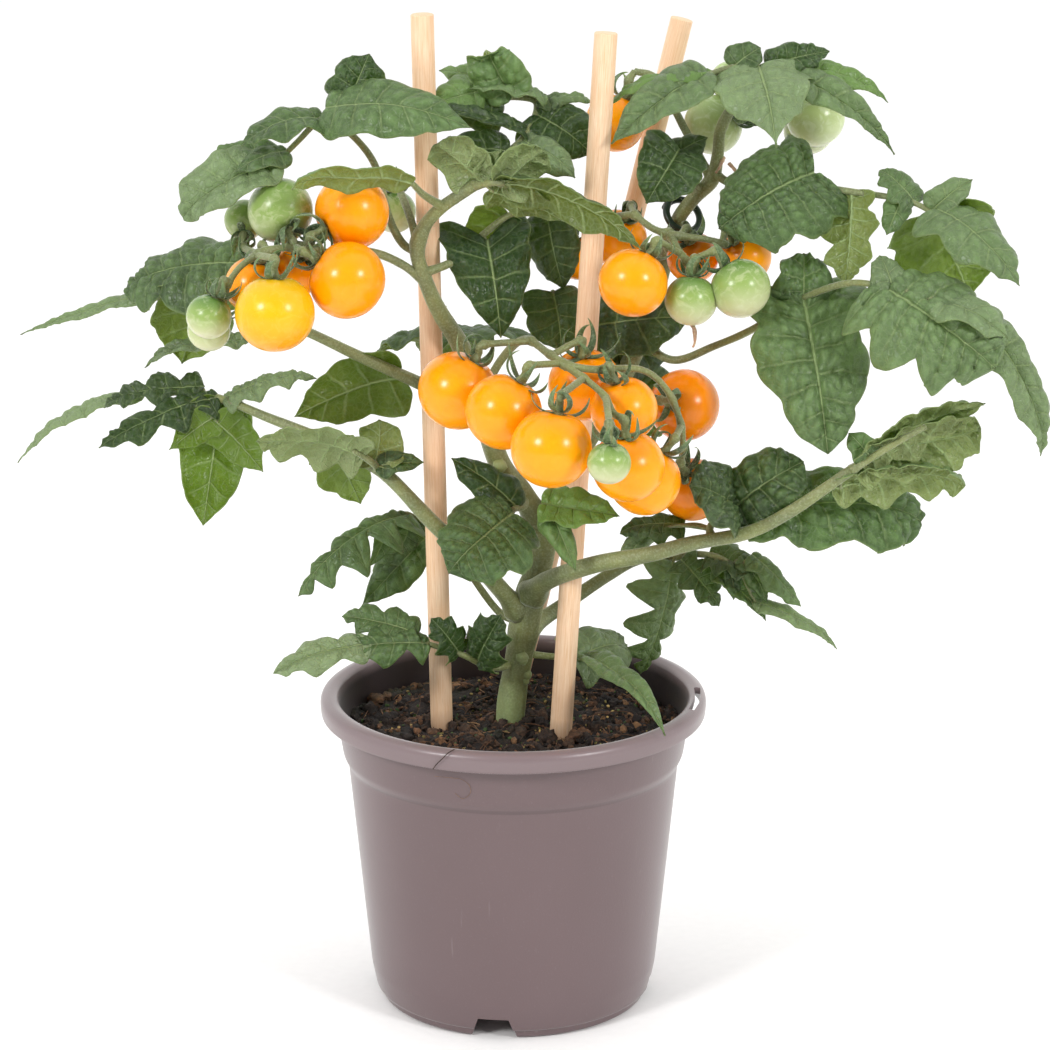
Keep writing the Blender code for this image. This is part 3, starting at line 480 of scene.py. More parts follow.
def cutAway(pot, bm, angle):  # takes the block out of the pot, turned to this side
    bmesh.ops.rotate(bm, verts=bm.verts, matrix=Matrix.Rotation(math.radians(angle), 3, "Z"))
    mesh = bpy.data.meshes.new("potCutter")
    bm.to_mesh(mesh)
    bm.free()
    tool = bpy.data.objects.new("potCutter", mesh)
    bpy.context.scene.collection.objects.link(tool)
    cut = pot.modifiers.new("cut", "BOOLEAN")
    cut.object = tool
    cut.solver = "EXACT"
    bpy.context.view_layer.update()
    made = bpy.data.meshes.new_from_object(pot.evaluated_get(bpy.context.evaluated_depsgraph_get()))
    pot.modifiers.remove(cut)
    pot.data = made
    bpy.data.objects.remove(tool)


def buildPot():
    shape = newShape()
    points, faces = turned(roundCorners(potPlan["section"], potPlan["corner"]), potPlan["steps"])
    addPart(shape, points, [faces])
    pot = makePiece("pot_moulding", shape, [mouldedPlastic()], "pot")
    bpy.context.view_layer.update()
    for angle in potPlan["notches"]:
        cutAway(pot, wallBlock(*potPlan["notch"]), angle)
    for angle in potPlan["drainHoles"]:
        cutAway(pot, drainHole(), angle)
    for angle in potPlan["rimSlots"]:
        cutAway(pot, wallBlock(*potPlan["slot"]), angle)
    made = pot.data
    place = np.empty(len(made.vertices) * 3)
    made.vertices.foreach_get("co", place)
    x, y, z = place.reshape(-1, 3).T / mm
    within = np.hypot(x, y) < np.interp(z, *potPlan["inside"]) + 0.4
    inner = within * (z > 9.5) * np.clip((113.5 - z) / 3, 0, 1)  # the stain and the painted shade fade out just under the lip
    attribute = made.attributes.new("inner", "FLOAT", "POINT")
    attribute.data.foreach_set("value", inner.astype(np.float32))
    made.polygons.foreach_set("use_smooth", [True] * len(made.polygons))
    made.set_sharp_from_angle(angle=math.radians(potPlan["sharpAngle"]))


soilPlan = {
    "top": 101.0, "floor": 10.9, "rim": 61.2, "steps": 170, "rings": 70,
    "chips": (2600, 60.2), "clods": (90, 57.0), "fibres": (150, 56.0),  # how many, and how far out they lie
    "wall": [(54.0, 50.0), (57.9, 90.2), (59.5, 92.6), (60.9, 99.5)],  # radius and height beside the pot
    "lumps": [(-51, 28, 3.4, 0.55), (-47, 31, 2.4, 0.5), (-31, 3, 2.6, 0.35), (-22, -4, 2.4, 0.3),
              (-29, -7, 2.2, 0.5), (22, -15, 3.2, 0.5), (25, -11, 2.8, 0.6), (12, -17, 2.6, 0.3),
              (20, -20, 2.4, 0.45), (-4, -3, 2.6, 0.3), (4, 12, 3.0, 0.25), (5, 32, 2.6, 0.3)],
    # a root thread washed over the lip, and a loose hair on the wall below it
    "thread": [(-20.2, -65.0, 115.3), (-22.3, -66.6, 114.5), (-24.4, -66.7, 112.4), (-26.2, -65.8, 110.3),
               (-27.6, -64.8, 108.0)],
    "hairLoop": [(-27.2, -58.3, 103.0), (-21.2, -60.4, 103.2), (-17.6, -61.4, 102.9), (-15.1, -61.6, 100.8),
                 (-14.8, -61.1, 97.7), (-17.4, -60.1, 95.4), (-20.2, -59.5, 97.2)],
}


def soilHeight(x, y):
    return soilPlan["top"] + np.sin(0.17 * x + 1.3) * np.cos(0.21 * y) + 0.6 * np.sin(0.31 * x - 0.27 * y)


def soilSpot(reach):  # random place on the soil
    turn, far = dice.uniform(0, 2 * np.pi), reach * dice.uniform(0, 1) ** 0.5
    return far * math.cos(turn), far * math.sin(turn)


def addChips(shape, count, spread):  # crumbs of peat, bark and grit lying on the soil
    knots, faces = roundKnots(1)
    for _ in range(count):
        x, y = soilSpot(spread)
        kind = dice.uniform()
        size = dice.uniform(0.4, 1.4)
        stretch = dice.uniform(0.6, 1.2, 3)
        tint = dice.uniform(0.0, 0.6)
        if kind > 0.95:  # bark
            size = dice.uniform(1.2, 2.4)
            stretch = dice.uniform((0.8, 0.5, 0.3), (1.3, 0.9, 0.6))
            tint = dice.uniform(0.45, 0.7)
        elif kind > 0.82:  # tan grit and straw bits
            size, stretch, tint = dice.uniform(0.35, 0.8), dice.uniform(0.7, 1.2, 3), dice.uniform(0.92, 1.0)
        elif kind > 0.74:  # moss and algae on the crumbs
            size, tint = dice.uniform(0.5, 1.0), dice.uniform(0.84, 0.9)
        turn = Matrix.Rotation(dice.uniform(0, 6.3), 3, Vector(unit(dice.normal(size=3))))
        body = knots * (1 + dice.uniform(-0.28, 0.28, (len(knots), 1))) * stretch * size
        body = body @ np.array(turn).T + (x, y, soilHeight(x, y) + 0.25 * size)
        far = np.maximum(np.hypot(body[:, 0], body[:, 1]), 1e-6)
        body[:, :2] *= np.minimum(1, soilPlan["rim"] / far)[:, None]
        addPart(shape, body, [faces], tint=tint)


def addClod(shape, x, y, lift, size, tint):  # rough lump of peat
    knots, faces = roundKnots(3)
    body = knots * dice.uniform(0.6, 1.15, 3) * size
    body *= 1 + 0.3 * ripple(body, 1.1 * size)[:, None] + 0.16 * ripple(body, 0.45 * size)[:, None]
    tint = np.clip(tint + 0.12 * ripple(body, 0.8), 0, 1)
    addPart(shape, body + (x, y, soilHeight(x, y) + lift), [faces], tint=tint)


def addFibre(shape, x, y):  # thin bowed root or straw lying on the soil
    way = dice.uniform(0, 2 * np.pi)
    length, bow = dice.uniform(4, 14), dice.uniform(-0.35, 0.35)
    ahead, aside = np.array((math.cos(way), math.sin(way))), np.array((-math.sin(way), math.cos(way)))
    line = []
    for f in np.linspace(0, 1, 7):
        flat = (x, y) + length * (f * ahead + bow * f * f * aside)
        flat *= min(1, (soilPlan["rim"] - 1.2) / max(np.hypot(*flat), 1))
        line.append((*flat, soilHeight(*flat) + 0.6 + 0.9 * math.sin(math.pi * f)))
    sweep(shape, line, np.linspace(0.22, 0.1, 7), sides=5, tint=dice.uniform(0.4, 0.75))


def buildSoil():
    shape = newShape()
    steps, rings = soilPlan["steps"], soilPlan["rings"]
    angle = 2 * np.pi * np.arange(steps) / steps
    profile = [(50.0, soilPlan["floor"]), *soilPlan["wall"]]
    profile += [(soilPlan["rim"] * (1 - f) ** 0.9, 0) for f in np.arange(rings) / rings]
    radius, height = np.array(profile).T
    points = np.stack([np.outer(radius, np.cos(angle)), np.outer(radius, np.sin(angle)),
                       np.tile(height[:, None], steps)], -1)
    top = np.arange(len(profile)) >= len(profile) - rings
    flatPlace = points[top] * (1, 1, 0)
    points[top, :, 2] = soilHeight(points[top, :, 0], points[top, :, 1])
    for rise, size in ((0.7, 8), (0.7, 3.2), (0.4, 1.7)):
        points[top, :, 2] += rise * ripple(flatPlace, size)
    tint = np.full((len(profile), steps), 0.12)
    tint[top] += 0.14 * ripple(flatPlace, 9) + 0.1 * ripple(flatPlace, 3)
    ends = [(0, 0, soilPlan["floor"]), (0, 0, soilHeight(0, 0))]
    addPart(shape, np.vstack([points.reshape(-1, 3), ends]), closedFaces(len(profile), steps),
            tint=np.concatenate([tint.ravel(), [0.1, 0.1]]))
    addChips(shape, *soilPlan["chips"])
    count, spread = soilPlan["clods"]
    for _ in range(count):
        addClod(shape, *soilSpot(spread), 0.2, dice.uniform(1.2, 3.0), dice.uniform(0.05, 0.4))
    for x, y, size, tint in soilPlan["lumps"]:
        addClod(shape, x, y, 0.35 * size, size, tint)
    count, spread = soilPlan["fibres"]
    for _ in range(count):
        addFibre(shape, *soilSpot(spread))
    sweep(shape, smoothLine(soilPlan["thread"], 0.6), 0.2, sides=6, tint=0.3)
    sweep(shape, smoothLine(soilPlan["hairLoop"], 0.8), 0.06, sides=5, tint=0.68)
    makePiece("soil_crumbs", shape, [pottingSoil()], "soil", sharpAngle=50)


canePlan = {  # foot in the soil's surface and top
    "cane_left": ((-26, 0, 101), (-31, -6, 361)),
    "cane_right": ((17, -13, 101), (32, -8, 355)),
    "cane_back": ((0, 36, 101), (60, 40, 353)),
}
caneLook = {"radius": 4.0, "sunkTo": 62.0, "bevel": 0.35}


def buildCanes():
    wood, bevel = sandedWood(), caneLook["bevel"]
    for name, (foot, top) in canePlan.items():
        foot, top = np.array(foot, float), np.array(top, float)
        along = unit(top - foot)
        start = foot - along * (foot[2] - caneLook["sunkTo"])
        length = np.linalg.norm(top - start)
        reach = np.concatenate([[0, bevel], np.linspace(6, length - 6, 30), [length - bevel, length]])
        radii = np.full(len(reach), caneLook["radius"])
        radii[[0, -1]] -= bevel
        shape = newShape()
        normals, others = sweep(shape, start + reach[:, None] * along, radii, sides=40, cap=0.0)
        away = shape["points"][0] - start
        for key, way in (("grainX", normals[0]), ("grainY", others[0]), ("grainZ", along)):
            shape["values"][key] = [(0, away @ way + (dice.uniform(0, 90) if key != "grainZ" else 0))]
        makePiece(name + "_dowel", shape, [wood], name, sharpAngle=40)


ringPlan = {"place": (60, 15, 287), "facing": (4, -8, 7), "radius": 6.6, "thick": 1.3, "turns": 1.12,
            "start": 0.6, "pitch": 2.2, "loose": 9.0}  # loose: how fast its free end stands off


def buildRing():
    facing = unit(np.array(ringPlan["facing"], float))
    right = unit(np.cross(facing, (0, 0, 1)))
    upward = np.cross(right, facing)
    line = []
    for f in np.linspace(0, 1, 60):
        angle = 2 * np.pi * ringPlan["turns"] * f + ringPlan["start"]
        far = ringPlan["radius"] + ringPlan["loose"] * max(0, f - 0.9)
        around = math.cos(angle) * right + math.sin(angle) * upward
        line.append(ringPlan["place"] + far * around + facing * (f - 0.5) * ringPlan["pitch"])
    shape = newShape()
    sweep(shape, line, ringPlan["thick"], sides=14)
    makePiece("tie_ring_loop", shape, [softTiePlastic()], "tie_ring")


buildPot()
buildSoil()
buildCanes()
buildRing()
print("pot, soil, canes and ring built")


stemPlan = {  # points along the middle, radius at the first and the last
    "trunk": ([(-1, 6, 78), (-1, 5, 101), (0, 5, 113), (2, 5, 125), (6, 5, 148), (10, 5, 163),
               (11, 5, 176)], 5.4, 4.6),
    "twig_left": ([(-33, -16, 284), (-36, -8, 292), (-40, 4, 299), (-42, 11, 301)], 1.5, 1.2),
    "twig_right": ([(70, 13, 300), (61, 19, 316), (51, 27, 333), (43, 28, 336)], 1.5, 1.2),
    "left_stem": ([(11, 5, 174), (3, 4, 188), (-5, 2, 200), (-12, -3, 224), (-18, -8, 244), (-25, -12, 257),
                   (-29, -14, 266), (-33, -15, 279), (-31, -17, 288), (-25, -20, 296), (-13, -24, 305)],
                  4.4, 1.9),
    "right_stem": ([(11, 5, 174), (21, 10, 196), (35, 14, 220), (47, 16, 245), (54, 16, 270), (58, 16, 284),
                    (63, 15, 292), (70, 13, 300), (72, 12, 309), (73, 10, 319), (79, 8, 331)], 4.2, 1.8),
    "low_left": ([(2, 4, 144), (-7, -6, 158), (-15, -15, 169), (-29, -18, 184), (-45, -14, 200),
                  (-60, -5, 206), (-72, 3, 210), (-88, 12, 214), (-100, 20, 217)], 3.4, 1.5),
    "mid_left": ([(-10, -2, 217), (-22, 6, 222), (-35, 9, 228), (-54, 8, 237), (-73, 9, 246),
                  (-87, 14, 250)], 2.6, 1.5),
    "low_right": ([(7, 2, 151), (11, -7, 158), (18, -16, 164), (31, -26, 171), (48, -32, 176),
                   (62, -36, 181), (81, -40, 186), (96, -44, 195), (116, -46, 210)], 3.6, 1.8),
    "back_right": ([(5, 7, 136), (17, 18, 141), (34, 24, 151), (46, 26, 157), (60, 26, 158)], 3.0, 1.8),
}
stemLook = {"step": 2.0, "ridge": 0.045, "flare": 0.3, "flareLength": 1.8, "joint": 0.22,
            "jointLength": 4.5, "uneven": 0.03, "paleBelow": 134, "paleOver": 28, "hairLength": 1.0,
            "trunk": {"sides": 24, "hairs": 14, "paleFoot": 0.34},
            "branch": {"sides": 18, "hairs": 7, "paleFoot": 0.0}}
nubs = [  # scars where a side shoot was pinched off: stem, place, radius
    ("trunk", (1, -0.5, 128), 2.6), ("trunk", (3.6, -1.0, 126), 2.0), ("trunk", (9.6, 2.5, 119), 2.2),
    ("trunk", (7, 0, 117), 1.6), ("left_stem", (-4, -4, 200), 2.8)]
stemJoints = [points[0] for name, (points, *_) in stemPlan.items() if name != "trunk"]


def growStem(shape, points, start, end, sides, joints=(), kind=0, step=stemLook["step"], paleFoot=0.0):
    line = smoothLine(points, step)
    radii = start + (end - start) * np.linspace(0, 1, len(line))
    along = np.concatenate([[0], np.cumsum(np.linalg.norm(np.diff(line, axis=0), axis=1))])
    radii = radii * (1 + stemLook["flare"] * np.exp(-(along / (stemLook["flareLength"] * start)) ** 2))
    for joint in joints:
        near = distances(line, joint)
        if near.min() < 4:
            radii = radii * (1 + stemLook["joint"] * np.exp(-(near / stemLook["jointLength"]) ** 2))
    radii = radii * (1 + stemLook["uneven"] * ripple(line, 14))
    pale = paleFoot * np.clip((stemLook["paleBelow"] - line[:, 2]) / stemLook["paleOver"], 0, 1)
    sweep(shape, line, radii, sides=sides, ridge=stemLook["ridge"], kind=kind, pale=pale)
    return line


def addHairs(shape, line, radius, count, length, kind=0):  # short pale hairs standing off a stem
    line = np.array(line, float)
    for _ in range(count):
        index = int(dice.integers(0, len(line) - 1))
        place = line[index] + (line[index + 1] - line[index]) * dice.uniform()
        ahead = unit(line[index + 1] - line[index])
        way = dice.normal(size=3)
        way = unit(way - ahead * np.dot(way, ahead))
        side = np.cross(ahead, way)
        root = place + way * radius * 0.9
        tip = root + way * length * dice.uniform(0.5, 1.1) + ahead * length * dice.uniform(-0.3, 0.3)
        around = [root + 0.06 * (math.cos(a) * side + math.sin(a) * ahead) for a in (0, 2.1, 4.2)]
        addPart(shape, [*around, tip], [[(0, 1, 2), (0, 3, 1), (1, 3, 2), (2, 3, 0)]], kind, pale=1.0)


bladePlan = {  # lobes a side, cut depth, fold and rise of the midrib, how pointed, how fast it tapers
    "broad": (3, 0.28, 0.10, 0.10, 0.6, 1.0),
    "cut": (4, 0.66, 0.15, 0.08, 0.8, 0.85),
    "long": (3, 0.22, 0.20, 0.08, 0.6, 1.0),
    "small": (2, 0.30, 0.12, 0.10, 0.5, 1.0),
    "lobed": (3, 0.42, 0.10, 0.10, 0.3, 0.7),
}
bladeLook = {"cell": 0.75, "quilt": 0.2, "blister": 0.95, "blisterSize": 4.6, "curl": 0.25, "wave": 0.16,
             "twist": 0.35, "thick": 0.32, "midrib": 0.6, "vein": 0.16, "basalLobe": 1.5, "endLobe": 0.25,
             "heart": 0.45, "teeth": 0.06, "rollFrom": 0.7, "veinStep": 7.5, "tone": -0.12}


def blisters(across, ahead, size):  # cobbled skin: 0 in the grooves between blisters, 1 on top of them
    wide, long = np.abs(across).max() + size, ahead.max() + size
    grid = np.meshgrid(np.arange(-wide, wide, size), np.arange(-size, long, size * 0.8))
    grid = np.stack(grid, -1).reshape(-1, 2)
    seeds = grid + dice.uniform(-0.38, 0.38, grid.shape) * size
    away = np.sqrt((across[..., None] - seeds[:, 0]) ** 2 + (ahead[..., None] - seeds[:, 1]) ** 2)
    away = np.partition(away, 1, axis=-1)[..., :2]
    return 1 - np.exp(-((away[..., 1] - away[..., 0]) / (0.36 * size)) ** 1.3)


def bladeSides(s, width, form, lobes, depth, taper, own):  # half width down each side, and its count of lobes
    pointed, heart = bladePlan[form][4], own.get("heart", bladeLook["heart"])
    outline = ((s + 0.0006) / 1.0006) ** (0.5 - 0.25 * heart) * (1 - s) ** taper
    outline = outline / outline.max()
    fading = np.interp(s, (0, 0.75), (bladeLook["basalLobe"], bladeLook["endLobe"]))
    if form in ("cut", "lobed"):
        fading = 1.15 - 0.3 * s
    halves, swings = [], []
    for share in own.get("sides", (1, 1)):  # each side has lobes of its own
        uneven = dice.uniform(-0.14, 0.14) / lobes * 4 * s * (1 - s)
        swing = lobes * (s + uneven + 0.03 * np.sin(2 * np.pi * s))
        part, peak = swing % 1, 0.6
        climb = np.where(part < peak, part / peak, (1 - part) / (1 - peak))
        near = pointed * (1 - climb) + (1 - pointed) * (1 - np.sin(np.pi / 2 * climb) ** 0.9)
        gain = 1 + 0.08 * np.interp(swing, np.arange(lobes + 1) + 0.5, dice.uniform(-1, 1, lobes + 1))
        cuts = depth * np.interp(swing, np.arange(lobes + 2), dice.uniform(0.6, 1.3, lobes + 2))
        teeth = np.abs(np.sin(np.pi * (2.4 * swing + dice.uniform()))) * np.clip(6 * s, 0, 1)
        lobed = 1 - cuts * fading * near + 0.22 * depth + own.get("teeth", bladeLook["teeth"]) * teeth - 0.03
        halves.append(np.maximum(0.5 * share * width * outline * gain * lobed, 0.12))
        swings.append(swing)
    return halves, swings


def bladeSpine(u, base, crest, tip, up, own):  # midrib, rolled under past a point, and the way up from it
    roll, start = own.get("roll", dice.uniform(0, 0.7)), own.get("rollFrom", bladeLook["rollFrom"])
    roll = roll if abs(roll) > 0.001 else 0.001
    spine = (1 - u) ** 2 * base + 2 * u * (1 - u) * crest + u * u * tip
    past = np.maximum(u - start, 0)
    bend = roll * past / (1 - start)
    heading = unit(2 * (1 - start) * (crest - base) + 2 * start * (tip - crest))
    lifted = unit(up - heading * np.dot(up, heading))
    elbow = (1 - start) ** 2 * base + 2 * start * (1 - start) * crest + start * start * tip
    radius = np.linalg.norm(tip - base) * (1 - start) / roll
    rolled = elbow + heading * np.sin(bend) * radius - lifted * (1 - np.cos(bend)) * radius
    lean = np.where(past > 0, lifted * np.cos(bend) + heading * np.sin(bend), up)
    return np.where(past > 0, rolled, spine), lean


def addBlade(shape, base, tip, width, facing, form, own=None):
    own = own or {}
    lobes, depth, fold, rise, _, taper = bladePlan[form]
    fold = own.get("fold", fold * dice.uniform(-1.2, 1.8))
    depth, taper, lobes = own.get("depth", depth), own.get("taper", taper), own.get("lobes", lobes)
    base, tip, facing = (np.array(value, float) for value in (base, tip, facing))
    length = np.linalg.norm(tip - base)
    along = (tip - base) / length
    up = unit(facing - along * np.dot(facing, along))
    side = np.cross(along, up)
    crest = (base + tip) / 2 + up * own.get("rise", rise) * 2 * length
    rows = int(np.clip(length / bladeLook["cell"], 20, 78))
    cols = 2 * int(np.clip(width / 2 / bladeLook["cell"], 6, 26))
    s = np.linspace(0, 1, rows + 1)[:, None] ** 1.2  # from base to tip
    t = np.linspace(-1, 1, cols + 1)[None, :]  # from edge to edge
    halves, swings = bladeSides(s, width, form, lobes, depth, taper, own)
    half, swing = np.where(t < 0, *halves), np.where(t < 0, *swings)
    across = t * half
    heart = own.get("heart", bladeLook["heart"])
    shift = np.abs(across) * (1.2 * s - heart) * np.minimum(1, 3 * (1 - s)) / length
    spine, lean = bladeSpine(np.clip(s + shift, -0.25, 1.02)[..., None], base, crest, tip, up, own)
    flat = np.stack([across, s * length + 0 * t, 0 * s + 0 * t], -1)
    # side veins run to the lobes and to the cuts between them, and the skin is cobbled between the veins
    pairs = max(2.0 * lobes, length / bladeLook["veinStep"])
    cell = length / pairs
    phase = pairs / lobes * swing + 0.35 * (1 - np.abs(t)) ** 1.5 + 0.05 * ripple(flat, 9)
    bulge = np.abs(np.sin(np.pi * phase)) ** 0.6
    cobbles = blisters(across, phase * cell, min(bladeLook["blisterSize"], 0.65 * cell))
    # the crest value paints light on the blisters and shade in the grooves
    crestLightAndShade = bulge ** 0.5 * (0.35 + 0.65 * cobbles)
    puffed = own.get("quilt", dice.uniform(0.7, 1.3))
    height = bladeLook["quilt"] * min(cell, 7) * bulge * (1 - 0.8 * np.exp(-(across / 1.4) ** 2))
    height *= 1 + 0.3 * ripple(flat, 11)
    height += bladeLook["blister"] * cobbles * np.clip(np.abs(across) / 1.5, 0.2, 1)
    height *= (1 - 0.6 * np.abs(t) ** 4) * puffed
    height += np.abs(across) * fold
    height -= bladeLook["curl"] * half * np.abs(t) ** 3 * dice.uniform(0.3, 1.4)
    for sign in (-1, 1):
        wave = np.cos(2 * np.pi * swing + dice.uniform(-0.8, 0.8)) * dice.uniform(0.5, 1.3)
        height += np.where(t * sign > 0, bladeLook["wave"] * half * wave * np.abs(t) ** 2, 0)
    height += 0.03 * length * ripple(flat, 0.9 * length, 3) * np.clip(4 * s, 0, 1)
    turn = (own.get("twist", bladeLook["twist"] * dice.uniform(-1, 1)) * (s - 0.3))[..., None]
    lateral = side * np.cos(turn) + lean * np.sin(turn)
    normal = lean * np.cos(turn) - side * np.sin(turn)
    top = spine + lateral * across[..., None] + normal * height[..., None]
    outward = np.cross(np.gradient(top, axis=1), np.gradient(top, axis=0))
    size = np.linalg.norm(outward, axis=-1, keepdims=True)
    outward = np.where(size > 1e-6, outward / np.maximum(size, 1e-6), up)
    ribWidth = (0.75 - 0.5 * s) * np.clip(width / 30, 0.5, 1.2)
    deep = bladeLook["thick"] + bladeLook["midrib"] * np.exp(-(across / ribWidth) ** 2) * (1 - s) ** 0.6
    deep = deep + bladeLook["vein"] * (1 - bulge) ** 3 * (1 - np.abs(t)) ** 0.5
    bottom = top - outward * deep[..., None]
    quads = gridFaces(rows, cols)
    wide, count = cols + 1, (rows + 1) * (cols + 1)
    edge = np.concatenate([np.arange(cols), np.arange(rows) * wide + cols,
                           rows * wide + np.arange(cols, 0, -1), np.arange(rows, 0, -1) * wide])
    after = np.roll(edge, -1)
    rims = np.stack([edge + count, after + count, after, edge], -1)
    ribSide = np.abs(across) / np.clip(1.25 - s, 0.3, 1) * min(1.6, 34 / width)
    both = {"ribSide": ribSide, "veinPhase": phase, "reach": np.abs(0 * s + t), "crest": crestLightAndShade + 0 * t}
    addPart(shape, [top, bottom], [quads, quads[:, ::-1] + count, rims], 0,
            **{key: np.tile(value.ravel(), 2) for key, value in both.items()},
            underside=np.repeat([0.0, 1.0], count),
            tone=own.get("tone", dice.uniform(-0.4, 0.3)) + bladeLook["tone"],
            grey=own.get("grey", dice.uniform(0, 0.15)), fresh=own.get("fresh", 0.0))
